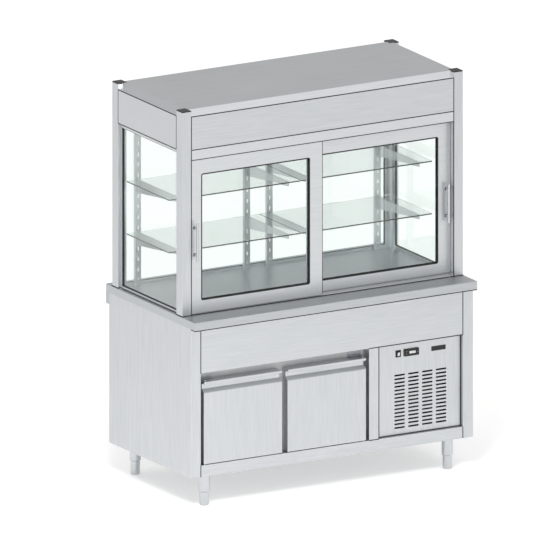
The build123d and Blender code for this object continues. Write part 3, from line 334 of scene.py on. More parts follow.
# Neutral-cure silicone wiped flush: dark grey with a slight skin.
GREY_SEALANT = Finish(
    "wiped_grey_silicone", "#1F2022", "#2A2B2D", roughness=0.5, grit_mm=1.5, bump=0.2, spread=0.06
)
# Cut polyurethane foam: open yellowish cells.
FOAM = Finish(
    "rigid_polyurethane_foam", "#E9DDB4", "#D8C795", roughness=0.85, grit_mm=1.5, bump=0.8, spread=0.05
)
# Hot-dip galvanised sheet: zinc crystals some 12 mm across that turn light and dark.
GALVANISED = Spangle(
    "galvanised_sheet", "#C2C6C9", "#A4A9AD", roughness=0.42, metallic=0.9, grit_mm=12.0, spread=0.12
)
# Electro-plated zinc: bluish and slightly grainy.
ZINC = Finish(
    "zinc_plated_bracket", "#B9BCC0", "#A2A6AC",
    roughness=0.38, metallic=1.0, grit_mm=1.0, bump=0.15, edge_mm=0.4,
)
# Stoved black lacquer: deep black with a slight orange peel.
BLACK_LACQUER = Finish("black_lacquered_steel", "#0E0F10", "#17181A", roughness=0.32, grit_mm=1.2, bump=0.15)
# Drawn copper pipe: reddish, with brown patches from brazing.
COPPER = Finish(
    "drawn_copper_pipe", "#B5714F", "#8E5238", roughness=0.36, metallic=1.0, grit_mm=6.0, bump=0.04
)
# Aluminium fin stock: thin upright edges that scatter light.
FINSTOCK = BrushedSheet(
    "aluminium_finstock", "#C9CCCE", "#B4B8BB",
    roughness=0.45, metallic=1.0, grit_mm=1.4, bump=0.1, spread=0.06, grain=Grain.ALONG_Z,
)
# Opal polycarbonate: an even white cover with no hot spots.
OPAL = Finish("opal_diffuser", "#F4F5F2", "#ECEEEA", roughness=0.35, bump=0.02, spread=0.04)
# Steel wire dipped in polyamide powder: pale grey, thick and slightly wavy.
COATED_WIRE = Finish(
    "plastic_coated_wire", "#E4E6E7", "#D6D9DB", roughness=0.38, grit_mm=1.5, bump=0.1, spread=0.06
)
# Display film that is switched off: pale and smooth.
DISPLAY_FILM = Finish(
    "pale_display_film", "#E9ECEA", "#DDE1DF", roughness=0.12, grit_mm=8.0, bump=0.01, spread=0.04
)
# Nylon pile in a woven backing: dark fibres some 0.3 mm thick, drawn at 0.8 mm.
PILE = BrushedSheet(
    "nylon_pile_strip", "#2B2D2F", "#4A4D50",
    roughness=0.8, grit_mm=0.8, bump=0.6, spread=0.05, grain=Grain.ALONG_Y, run=8.0,
)


def both(name: str) -> list[str]:
    """Return the names of a node's left and right copies."""
    return [f"{side}_{name}" for side in ("left", "right")]


FEET = [f"{end}_{foot}" for end in ("front", "rear") for foot in both("foot")]
CABINET_SHEETS = ["floor_pan", "fascia", "cold_room_liner", *both("base_door_grip")]
DISPLAY_SHEETS = ["header", "roof", "ceiling_panel"]
CONTROLS = ["blank_plate", "switch_bezel", "switch_rocker", "thermostat", "up_key", "down_key", "set_key"]

NODES_BY_FINISH: dict[Finish, list[str]] = {
    STEEL_TOP: ["worktop"],
    STEEL_X: [*CABINET_SHEETS, *DISPLAY_SHEETS],
    STEEL_Y: ["shelf_brackets", "shelf_supports"],
    STEEL_Z: ["outer_panels", "louvre_panel", "corner_posts", "shelf_uprights", *both("base_door_skin")],
    STEEL_TURNED: ["leg_sleeves", *FEET, *both("glass_door_handle")],
    ANODISED: ["door_tracks", "pane_beads", *both("glass_door_frame")],
    FLOAT_GLASS: ["fixed_panes", "glass_shelves", *both("glass_door_pane")],
    GALVANISED: ["back_panel", "unit_tray"],
    FOAM: ["insulation"],
    ZINC: ["hinge_brackets"],
    WHITE_PVC: ["door_landing_frame", "control_box", *both("base_door_core")],
    GREY_GASKET: both("base_door_gasket"),
    BLACK_ABS: [*CONTROLS, "post_caps", "condenser_fan", "evaporator_fan"],
    # The condenser is black lacquer, as many coils are, and its black also stands for the shade of the
    # technical bay behind the louvre slots: partly painted shade.
    BLACK_LACQUER: ["condenser", "compressor", "fan_motors"],
    FINSTOCK: ["base_evaporator", "display_evaporator"],
    COPPER: ["refrigerant_pipes"],
    COATED_WIRE: ["wire_shelves"],
    OPAL: ["lamp"],
}


def dress_nodes() -> None:
    """Give every carried-over CAD node its finish."""
    for finish, names in NODES_BY_FINISH.items():
        for name in names:
            NODES[name].data.materials.clear()
            NODES[name].data.materials.append(finish.material())
            log.info("dressed %s in %s", name, finish.name)


# Points closer than this are one point.
WELD = 2e-6


def place(name: str, data: bpy.types.ID) -> bpy.types.Object:
    """Put a mesh, a camera or a lamp into the scene.

    Args:
        name: the object's name.
        data: what the object holds.

    Returns:
        The object.
    """
    made = bpy.data.objects.new(name, data)
    bpy.context.scene.collection.objects.link(made)
    return made


@dataclass
class Shape:
    """Points and quads of a piece under construction."""

    points: np.ndarray
    quads: np.ndarray

    def __add__(self, other: "Shape") -> "Shape":
        """Return both shapes as one."""
        quads = np.vstack([self.quads, other.quads + len(self.points)])
        return Shape(np.vstack([self.points, other.points]), quads)

    def copies(self, offsets: np.ndarray) -> "Shape":
        """Repeat the shape at each row of offsets.

        Args:
            offsets: rows of (x, y, z) that are added to the points.

        Returns:
            The copies as one shape.
        """
        offsets = np.asarray(offsets, float).reshape(-1, 3)
        points = (self.points[None] + offsets[:, None]).reshape(-1, 3)
        steps = len(self.points) * np.arange(len(offsets))[:, None, None]
        return Shape(points, (self.quads[None] + steps).reshape(-1, 4))

    def mirrored(self) -> "Shape":
        """Return the shape mirrored in the plane x = 0, with its faces turned back outwards."""
        return Shape(self.points * (-1, 1, 1), self.quads[:, ::-1])

    def piece(
        self, name: str, body: str, finish: Finish, slot: str, sharp: float = 40.0
    ) -> bpy.types.Object:
        """Put the shape into an object that rides on a body.

        Args:
            name: the piece's name.
            body: the CAD body that it moves with.
            finish: what it is made of.
            slot: the record's material slot; not used.
            sharp: the angle in degrees past which an edge stays crisp.

        Returns:
            The object.
        """
        mesh = bpy.data.meshes.new(name)
        mesh.from_pydata(self.points.tolist(), [], self.quads.tolist())
        work = bmesh.new()
        work.from_mesh(mesh)
        bmesh.ops.remove_doubles(work, verts=work.verts, dist=WELD)
        bmesh.ops.dissolve_degenerate(work, edges=work.edges, dist=WELD / 2)
        bmesh.ops.recalc_face_normals(work, faces=work.faces)
        work.to_mesh(mesh)
        work.free()
        mesh.shade_smooth()
        mesh.set_sharp_from_angle(angle=math.radians(sharp))
        mesh.materials.append(finish.material())
        made = place(name, mesh)
        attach(made, body)
        log.info("built %s: %d faces on %s", name, len(mesh.polygons), body)
        return made


def joined(shapes: Iterable[Shape]) -> Shape:
    """Return several shapes as one."""
    return reduce(Shape.__add__, shapes)


class Facing(Enum):
    """The plane in which a path is drawn, by its outward normal."""

    FRONT = (0.0, -1.0, 0.0)
    REAR = (0.0, 1.0, 0.0)
    SIDE = (1.0, 0.0, 0.0)
    TOP = (0.0, 0.0, 1.0)
    UNDER = (0.0, 0.0, -1.0)

    def lift(self, flat: np.ndarray, depth: float) -> np.ndarray:
        """Place flat (across, up) points in the plane: as x and z, y and z, or x and y.

        Args:
            flat: the points.
            depth: where the plane cuts the axis of its normal.

        Returns:
            The points in space.
        """
        normal_axis = int(np.argmax(np.abs(self.value)))
        return np.insert(np.asarray(flat, float), normal_axis, depth, axis=1)


def surface(grid: np.ndarray, loop_u: bool = False, loop_v: bool = False) -> Shape:
    """Join a grid of points into quads.

    Args:
        grid: points as rows by columns by 3.
        loop_u: whether the last row joins the first.
        loop_v: whether the last column joins the first.

    Returns:
        The shape.
    """
    rows, cols = grid.shape[:2]
    i, j = np.meshgrid(np.arange(rows - (not loop_u)), np.arange(cols - (not loop_v)), indexing="ij")
    down, over = (i + 1) % rows, (j + 1) % cols
    quads = np.stack([i * cols + j, down * cols + j, down * cols + over, i * cols + over], axis=-1)
    return Shape(grid.reshape(-1, 3), quads.reshape(-1, 4))


def carry(profile: np.ndarray, path: np.ndarray, facing: Facing, closed: bool = False) -> Shape:
    """Carry a closed profile along a flat path, mitred at the path's corners.

    A profile point (a, b) goes to path + a * side + b * normal. The side is the normal crossed with
    the path's direction, lengthened at a corner so that both runs keep their width. The ends of an
    open path close at the middle of the profile.

    Args:
        profile: closed profile as rows of (side, normal).
        path: points in space, all in one plane of the facing.
        facing: the plane's facing, which gives the normal.
        closed: whether the path joins its own start.

    Returns:
        The shape.
    """
    profile, path, normal = (np.asarray(v, float) for v in (profile, path, facing.value))
    runs = np.roll(path, -1, axis=0) - path
    runs /= np.linalg.norm(runs, axis=1, keepdims=True)
    if not closed:
        runs[-1] = runs[-2]
    before = np.roll(runs, 1, axis=0)
    if not closed:
        before[0] = runs[0]
    side_a, side_b = np.cross(normal, before), np.cross(normal, runs)
    side = (side_a + side_b) / (1 + np.sum(side_a * side_b, axis=1, keepdims=True))
    grid = path[:, None] + side[:, None] * profile[None, :, :1] + normal * profile[None, :, 1:]
    if not closed:
        middles = grid[[0, -1]].mean(axis=1, keepdims=True).repeat(len(profile), axis=1)
        grid = np.concatenate([middles[:1], grid, middles[1:]])
    return surface(grid, loop_u=closed, loop_v=True)


def revolve(profile: np.ndarray, centre: np.ndarray, axis: np.ndarray, sides: int = 24) -> Shape:
    """Turn an open profile about an axis.

    A profile point (r, h) goes to centre + h * axis + r * (cos(t) * first + sin(t) * second), where
    first and second are at right angles to the axis. A point with r = 0 at either end closes the pole.

    Args:
        profile: rows of (radius, height).
        centre: a point on the axis.
        axis: the axis' unit direction.
        sides: how many steps make the full turn.

    Returns:
        The shape.
    """
    profile, centre, axis = (np.asarray(v, float) for v in (profile, centre, axis))
    first = np.cross(axis, (0.0, 0.0, 1.0) if abs(axis[2]) < 0.9 else (1.0, 0.0, 0.0))
    first /= np.linalg.norm(first)
    second = np.cross(axis, first)
    ring = circle(1.0, sides) @ np.stack([first, second])
    grid = centre + profile[None, :, 1:] * axis + ring[:, None] * profile[None, :, :1]
    return surface(grid, loop_u=True)


def rod(start: np.ndarray, end: np.ndarray, radius: float, sides: int) -> Shape:
    """Lay a round rod between two points: a profile with nipped ends, turned about their line.

    Args:
        start: one end.
        end: the other end.
        radius: the rod's radius.
        sides: how many steps make the full turn.

    Returns:
        The shape.
    """
    start, end = np.asarray(start, float), np.asarray(end, float)
    length = float(np.linalg.norm(end - start))
    nip = radius * 0.3
    half = np.array([(0, 0), (radius - nip, 0), (radius, nip)])
    profile = np.vstack([half, half[::-1] * (1, -1) + (0, length)])
    return revolve(profile, start, (end - start) / length, sides)


def mound(loop: np.ndarray, facing: Facing, levels: np.ndarray) -> Shape:
    """Raise a closed form over a loop.

    A level (share, height) repeats the loop, drawn in by that share of the way to its centre and
    raised by the height. Both ends close at the centre.

    Args:
        loop: points in space, in one plane of the facing.
        facing: the plane's facing.
        levels: rows of (share, height), from the base up.

    Returns:
        The shape.
    """
    loop, levels, normal = (np.asarray(v, float) for v in (loop, levels, facing.value))
    levels = np.vstack([(1.0, levels[0, 1]), levels, (1.0, levels[-1, 1])])
    centre = (loop.min(axis=0) + loop.max(axis=0)) / 2
    share, height = levels[:, None, :1], levels[:, None, 1:]
    return surface(centre + (loop[None] - centre) * (1 - share) + height * normal, loop_v=True)


def circle(radius: float, sides: int) -> np.ndarray:
    """Return a round loop: radius times (cos(t), sin(t))."""
    turn = np.linspace(0, 2 * math.pi, sides, endpoint=False)
    return radius * np.stack([np.cos(turn), np.sin(turn)], axis=1)


def quarter(across: float, up: float, steps: int) -> np.ndarray:
    """Return a quarter ellipse: (across * cos(t), up * sin(t)), t from 0 to a right angle."""
    turn = np.linspace(0, math.pi / 2, steps)
    return np.stack([across * np.cos(turn), up * np.sin(turn)], axis=1)


def rounded_loop(u: Span, v: Span, radius: float, steps: int = 7) -> np.ndarray:
    """Return a rectangle with rounded corners, anticlockwise from its lower right corner.

    Each corner is a quarter circle about a centre that stands the radius in from both sides.

    Args:
        u: the (low, high) span across.
        v: the (low, high) span up.
        radius: the corners' radius; 0 gives the four corner points.
        steps: how many points each corner has.

    Returns:
        The flat points.
    """
    steps = steps if radius > 0 else 1
    (left, right), (low, high) = shrunk(u, radius), shrunk(v, radius)
    centres = np.array([(right, low), (right, high), (left, high), (left, low)])
    turns = np.linspace(0, math.pi / 2, steps)[None] + math.pi / 2 * np.arange(-1, 3)[:, None]
    arcs = np.stack([np.cos(turns), np.sin(turns)], axis=-1) * radius
    return (centres[:, None] + arcs).reshape(-1, 2)


def shrunk(span: Span, by: float) -> Span:
    """Return a (low, high) span that is drawn in at both ends."""
    return (span[0] + by, span[1] - by)


def around(middle: float, size: float) -> Span:
    """Return the (low, high) span of a size about a middle."""
    return (middle - size / 2, middle + size / 2)


EVERY: Span = (-math.inf, math.inf)


def above(low: float) -> Span:
    """Return the span from a value up."""
    return (low, math.inf)


def below(high: float) -> Span:
    """Return the span up to a value."""
    return (-math.inf, high)


def corners(node: str, x: Span = EVERY, y: Span = EVERY, z: Span = EVERY) -> np.ndarray:
    """Return the lowest and highest corner of a CAD node, or of its vertices within three spans.

    Args:
        node: the CAD node's name.
        x: the span to the right that is read.
        y: the span to the back that is read.
        z: the span up that is read.

    Returns:
        The two corners, as rows.
    """
    vertices = NODES[node].data.vertices
    points = np.empty(len(vertices) * 3, np.float32)
    vertices.foreach_get("co", points)
    points = points.reshape(-1, 3).astype(float)
    low, high = np.transpose([x, y, z])
    inside = points[np.all((points >= low) & (points <= high), axis=1)]
    return np.stack([inside.min(axis=0), inside.max(axis=0)])


def right_posts() -> tuple[np.ndarray, np.ndarray]:
    """Return the corners of the front and of the rear post on the right."""
    front, rear = (corners("corner_posts", x=above(0.0), y=half) for half in (below(0.0), above(0.0)))
    return front, rear


@dataclass
class GlazingSeals:
    """Black seals between every pane and the frame or bead that holds it, on both faces.

    Round a door's glass the seal fills the frame's depth and laps over its edge, and on the fixed panes
    it is a low wedge.
    """

    bite: float = 0.008
    seat: float = 0.010
    face: float = 0.0042
    rise: float = 0.0045
    wedge_tuck: float = 0.0004
    wall: Pair = (0.0012, 0.001)
    lap: float = 0.0045
    lip: float = 0.0006
    lip_sink: float = 0.0002
    tuck: float = 0.0003
    door_corner: float = 0.009

    def wedge(self, outward: int) -> np.ndarray:
        """Return a quarter ellipse, face wide and rise high, that stands to one side of the pane."""
        foot = [(-self.wedge_tuck, self.rise), (-self.wedge_tuck, 0.0)]
        return np.vstack([quarter(self.face, self.rise, 6), foot]) * (1, outward)

    def door_lip(self, deep: float, outward: int) -> np.ndarray:
        """Return the section of a door's seal: up the frame's inner wall and over its edge.

        It narrows to its upper thickness from 0.8 of the depth on.

        Args:
            deep: from the pane's face to the frame's.
            outward: the side of the pane, 1 or -1.

        Returns:
            Rows of (side, normal).
        """
        full, under = deep + self.lip, deep - self.lip_sink
        outline = [(self.face, 0.0), (self.wall[0], deep * 0.8), (self.wall[1], deep), (0.0, full)]
        outline += [(-self.lap, full), (-self.lap - self.lip, under), (-self.tuck, under), (-self.tuck, 0.0)]
        return np.array(outline) * (1, outward)

    def rings(self, pane: np.ndarray, facing: Facing, corner: float, deep: float = 0.0) -> Shape:
        """Return the seals in front of one pane and behind it.

        Args:
            pane: the pane's lowest and highest corner.
            facing: the plane of the pane.
            corner: the opening's corner radius.
            deep: the frame's depth before the pane, for the seal that laps over it; 0 gives a wedge.

        Returns:
            The shape.
        """
        across, depth, turn = (0, 1, 1) if facing is Facing.FRONT else (1, 0, -1)
        v = (pane[0, 2] + self.seat, pane[1, 2] - self.bite)
        loop = rounded_loop(shrunk(pane[:, across], self.bite), v, corner)[::-turn]
        shapes = []
        for at, outward in zip(pane[::turn, depth], (1, -1)):
            section = self.door_lip(deep, outward) if deep else self.wedge(outward)
            shapes.append(carry(section, facing.lift(loop, at), facing, closed=True))
        return joined(shapes)

    def build(self) -> None:
        """Build the seals of both doors and of the three fixed panes."""
        for door in both("glass_door"):
            pane = corners(f"{door}_pane")
            deep = pane[0, 1] - corners(f"{door}_frame")[0, 1]
            seals = self.rings(pane, Facing.FRONT, self.door_corner, deep)
            seals.piece(f"{door}_seals", door, BLACK_EPDM, "rubber")
        inner = right_posts()[0][0, 0]
        side = self.rings(corners("fixed_panes", x=above(inner)), Facing.SIDE, 0.0)
        rear = self.rings(corners("fixed_panes", x=(-inner, inner)), Facing.FRONT, 0.0)
        (side + side.mirrored() + rear).piece("fixed_pane_seals", "root", BLACK_EPDM, "rubber")


@dataclass
class PanelJoints:
    """Grey silicone wiped into the joints between the panels, posts and rails; round the louvre panel's
    recess it is also painted shade.
    """

    width: float = 0.005
    proud: float = 0.0005
    sunk: float = 0.0012
    bay_inset: float = 0.002
    cove: float = 0.0035

    def bead(self) -> np.ndarray:
        """Return a flat bead: half an ellipse that stands proud of the faces and reaches into the joint.

        Returns:
            Rows of (side, normal).
        """
        right = quarter(self.width / 2, self.proud, 4)
        arc = np.vstack([right, right[-2::-1] * (-1, 1)])
        return np.vstack([arc, [(-self.width / 2, -self.sunk), (self.width / 2, -self.sunk)]])

    def lines(self, pairs: list[tuple[Pair, Pair]], facing: Facing, depth: float) -> Shape:
        """Return a straight bead between each pair of flat points of a plane."""
        return joined(carry(self.bead(), facing.lift(pair, depth), facing) for pair in pairs)

    def build_display(self) -> None:
        """Wipe the joints between the posts, the header, the roof and the top track."""
        (front_post, rear_post), posts = right_posts(), corners("corner_posts")
        (inner, _, foot), (outer, near, _) = front_post
        far, (low, high) = rear_post[0, 1], corners("header")[:, 2]
        rows = [((-inner, z), (inner, z)) for z in (high, low)]
        uprights = [((x, foot), (x, high)) for x in (inner, -inner)]
        shape = self.lines(rows + uprights, Facing.FRONT, posts[0, 1])
        shape += self.lines(rows, Facing.REAR, posts[1, 1])
        frame_round = [((near, z), (far, z)) for z in (low, high)]
        frame_round += [((y, low), (y, high)) for y in (near, far)]
        side = self.lines(frame_round, Facing.SIDE, outer)
        (shape + side + side.mirrored()).piece("display_joint_sealant", "root", GREY_SEALANT, "rubber")

    def build_cabinet(self) -> None:
        """Wipe the joints between the stiles, the fascia, the bottom rail and the louvre panel; the beads
        along the fascia's lower edge, up the louvre panel's left edge and round the panel are also painted
        shade, for the shadow in the panel's recess.
        """
        fascia, rail, louvre = (corners(node) for node in ("fascia", "floor_pan", "louvre_panel"))
        front, stile = fascia[0, 1], fascia[1, 0]
        uprights = [((stile, low), (stile, high)) for low, high in (fascia[:, 2], rail[:, 2])]
        post = self.lines(uprights, Facing.FRONT, front)
        # Painted shade: the beads along the fascia's lower edge and up the louvre panel's left edge stand
        # for the shadow in the panel's recess.
        divider, edge = corners("door_landing_frame")[1, 0], louvre[0, 0]
        low, high = rail[1, 2], fascia[0, 2]
        middle = [((divider, low), (edge, low)), ((divider, high), (stile, high))]
        middle += [((edge, low), (edge, high))]
        shape = post + post.mirrored() + self.lines(middle, Facing.FRONT, front)
        # Painted shade: the ring round the louvre panel stands for the shadow at the recess's edges, and is
        # partly a real joint.
        bay = rounded_loop(*(shrunk(louvre[:, axis], self.bay_inset) for axis in (0, 2)), 0.0)
        shape += carry(self.bead(), Facing.FRONT.lift(bay[::-1], louvre[0, 1]), Facing.FRONT, closed=True)
        shape.piece("cabinet_joints_and_recess_shade", "root", GREY_SEALANT, "rubber")

    def build_foot_of_display(self) -> None:
        """Wipe a hollow cove round the foot of the display, which steps in between the posts."""
        beads, (front_post, rear_post) = corners("pane_beads"), right_posts()
        (x0, y0, z), (x1, y1, _) = front_post
        (y2, y3), glass = rear_post[:, 1], beads[1, 0]
        half = [(x0, beads[1, 1]), (x0, y3), (x1, y3), (x1, y2)]
        half += [(glass, y2), (glass, y1), (x1, y1), (x1, y0)]
        loop = np.array([(-x, y) for x, y in half] + half[::-1])
        hollow = self.cove - quarter(self.cove, self.cove, 5)
        back = [(self.cove, -self.proud), (-self.sunk, -self.proud), (-self.sunk, self.cove)]
        profile = np.vstack([hollow, back]) * (-1, 1)
        cove = carry(profile, Facing.TOP.lift(loop, z), Facing.TOP, closed=True)
        cove.piece("display_foot_sealant", "root", GREY_SEALANT, "rubber")

    def build(self) -> None:
        """Wipe all joints."""
        self.build_display()
        self.build_cabinet()
        self.build_foot_of_display()


def two_sided(right: np.ndarray) -> np.ndarray:
    """Return a section from its right half, by a mirror in the line a = 0."""
    right = np.asarray(right, float)
    return np.vstack([right, right[::-1] * (-1, 1)])


@dataclass
class DoorBrush:
    """Pile strips behind the first door's meeting stile and along the top track, and a bumper bulb. The dark
    strip along the track is also painted shade, for the shadow under the track's lip.
    """

    inset: float = 0.012
    end_gap: float = 0.006
    tuck: float = 0.0003
    backing: float = 0.0048
    backing_rise: float = 0.0009
    pile_foot: float = 0.001
    pile: float = 0.0031
    bulb: float = 0.0042
    bulb_deep: float = 0.014
    bulb_back: float = 0.0002
    lip: float = 0.0024
    lip_seat: float = 0.0005
    drop: float = 0.0045

    def strip(self, door: np.ndarray, height: Span) -> Shape:
        """Carry the strip up the stile: a backing, and a fringe that flares from 0.6 of its width to 0.75.

        Args:
            door: the corners of the door's frame.
            height: where the strip starts and ends.

        Returns:
            The shape.
        """
        half, x = self.backing / 2, door[1, 0] - self.inset
        right = [(half, -self.tuck), (half, self.backing_rise), (half * 0.6, self.pile_foot)]
        profile = two_sided([*right, (half * 0.75, self.pile)])
        return carry(profile, Facing.REAR.lift([(x, z) for z in height], door[1, 1]), Facing.REAR)

    def bumper(self, door: np.ndarray, height: Span) -> Shape:
        """Carry the bulb up the stile's edge: a quarter ellipse at each end of a flat face.

        Args:
            door: the corners of the door's frame.
            height: where the bulb starts and ends.

        Returns:
            The shape.
        """
        up, along = quarter(self.bulb, self.bulb / 2, 5)[::-1].T
        nose = np.stack([along - self.bulb / 2 - self.bulb_back, up], axis=1)
        nose = np.vstack([(-self.bulb_back, -self.tuck), nose])
        section = np.vstack([nose, nose[::-1] * (-1, 1) - (self.bulb_deep, 0.0)])[::-1]
        return carry(section, Facing.SIDE.lift([(door[0, 1], z) for z in height], door[1, 0]), Facing.SIDE)

    def track_lip_and_shade(self, track: np.ndarray) -> Shape:
        """Carry the thin flaring lip along the lower front edge of the top track: a real pile strip whose
        dark fringe is also painted shade, for the shadow that the track casts on the door.

        Args:
            track: the corners of the top track.

        Returns:
            The shape.
        """
        top, foot = (self.tuck, self.lip_seat), (2 * self.tuck, -self.drop)
        section = [top, (self.lip, self.lip_seat), (self.lip * 1.15, -self.drop), foot]
        path = Facing.TOP.lift([(-track[1, 0], track[0, 1]), (track[1, 0], track[0, 1])], track[0, 2])
        return carry(section, path, Facing.TOP)

    def build(self) -> None:
        """Build the strip and the bumper of the first door, and the track's lip."""
        door = corners("left_glass_door_frame")
        height = shrunk(door[:, 2], self.end_gap)
        self.strip(door, height).piece("left_glass_door_brush", "left_glass_door", PILE, "rubber")
        self.bumper(door, height).piece("left_glass_door_bumper", "left_glass_door", BLACK_EPDM, "rubber")
        track = corners("door_tracks", z=above(door[:, 2].mean()))
        # The track's pile strip is partly painted shade: the dark line under the track's lip.
        self.track_lip_and_shade(track).piece("door_track_brush_and_painted_shade", "root", PILE, "rubber")


@dataclass
class WorktopLipShade:
    """Black strip under the turned-down edge of the worktop, where it stands out over the base: painted
    shade for the shadow that the overhang casts on the fascia.
    """

    thick: float = 0.002
    drop: float = 0.0045
    cut: float = 0.0025
    seat: float = 0.0002

    def build(self) -> None:
        """Carry the painted-shade strip below the hem, from one side of the base round the front to the
        other.

        Its section is a flat strip, which draws in by a quarter on both sides below 0.7 of its drop.
        """
        (_, front, _), (right, _, _) = corners("worktop")
        (_, base, _), (_, _, hem) = corners("fascia")
        half = [(right, base), (right, front + self.cut), (right - self.cut, front)]
        path = Facing.UNDER.lift(np.array([(-x, y) for x, y in half] + half[::-1]), hem)
        t, d = self.thick, self.drop
        section = [(-t, self.seat), (0.0, self.seat), (0.0, d * 0.7)]
        section += [(-t * 0.25, d), (-t * 0.75, d), (-t, d * 0.7)]
        # Painted shade: a black strip where the worktop's overhang shades the fascia.
        carry(section, path, Facing.UNDER).piece("worktop_lip_painted_shade", "root", BLACK_EPDM, "rubber")


@dataclass
class HandleRings:
    """Soft rings under the standoffs of the bar handles, which keep the profile from marking."""

    radius: float = 0.0062
    rise: float = 0.0014
    foot_reach: float = 0.002

    def build(self) -> None:
        """Turn a small ring with a half-round edge about each standoff's foot."""
        turn = np.linspace(-math.pi / 2, math.pi / 2, 6)
        lip = np.stack([self.radius + self.rise * np.cos(turn), self.rise * (1 + np.sin(turn)) / 2], axis=1)
        profile = np.vstack([(0.0, 0.0), lip, (0.0, self.rise)])
        for door in both("glass_door"):
            face, handle = corners(f"{door}_frame")[0, 1], f"{door}_handle"
            foot = corners(handle, y=above(face - self.foot_reach))
            x, z = foot[:, 0].mean(), corners(handle)[:, 2].mean()
            reach = foot[1, 2] - z - (foot[1, 0] - foot[0, 0]) / 2
            rings = (revolve(profile, (x, face, z + n * reach), Facing.FRONT.value) for n in (1, -1))
            joined(rings).piece(f"{door}_handle_rings", door, BLACK_EPDM, "rubber")


@dataclass
class BaseDoorGasket:
    """Ribbed magnetic gasket round the back of a base door, which stands for its plain CAD ring."""

    half: float = 0.007
    magnet: float = 0.0015
    fold: float = 0.0022

    def profile(self, deep: float) -> np.ndarray:
        """Return the section: a magnet bead, a folded neck on each side and a wide push-in base.

        Args:
            deep: the gasket's depth.

        Returns:
            Rows of (side, normal).
        """
        m, f = self.magnet, self.fold
        drawn_in = np.array([m, m * 0.4, m * 0.4, f, f * 0.4, f, f * 0.2, 0.0, 0.0])
        up = [0.0, m * 0.5, *(deep * share for share in (0.3, 0.4, 0.5, 0.62, 0.74, 0.86, 1.0))]
        return two_sided(np.stack([self.half - drawn_in, up], axis=1))

    def build(self) -> None:
        """Carry the section round both doors with mitred corners."""
        for door in both("base_door"):
            box = corners(f"{door}_gasket")
            loop = rounded_loop(*(shrunk(box[:, axis], self.half) for axis in (0, 2)), 0.0)
            path = Facing.FRONT.lift(loop[::-1], box[1, 1])
            made = carry(self.profile(box[1, 1] - box[0, 1]), path, Facing.FRONT, closed=True)
            gasket = made.piece(f"{door}_magnetic_gasket", door, GREY_GASKET, "rubber")
            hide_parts(f"{door}_gasket")


@dataclass
class WireShelves:
    """Plastic-coated shelves: round wires with nipped ends over three cross rails in each bay."""

    wires: int = 15
    rails: int = 3
    radius: float = 0.003
    sides: int = 12

    def build(self) -> None:
        """Lay the wires of each bay from front to back, and its rails across them."""
        (_, front, low), (_, rear, high) = corners("wire_shelves")
        left, right = (corners(door) for door in both("base_door_skin"))
        divide, z = (left[1, 0] + right[0, 0]) / 2, (low + high) / 2
        wire = rod((0, front, z), (0, rear, z), self.radius, self.sides)
        bays = []
        for span in (below(divide), above(divide)):
            low, high = shrunk(corners("wire_shelves", x=span)[:, 0], self.radius)
            rail = rod((low, 0, z), (high, 0, z), self.radius, self.sides)
            bays.append(wire.copies(np.outer(np.linspace(low, high, self.wires), (1, 0, 0))))
            spots = np.linspace(*shrunk((front, rear), self.radius), self.rails)
            bays.append(rail.copies(np.outer(spots, (0, 1, 0))))
        shelves = joined(bays).piece("coated_wire_shelves", "root", COATED_WIRE, "shelf_wire", 50.0)
        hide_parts("wire_shelves")


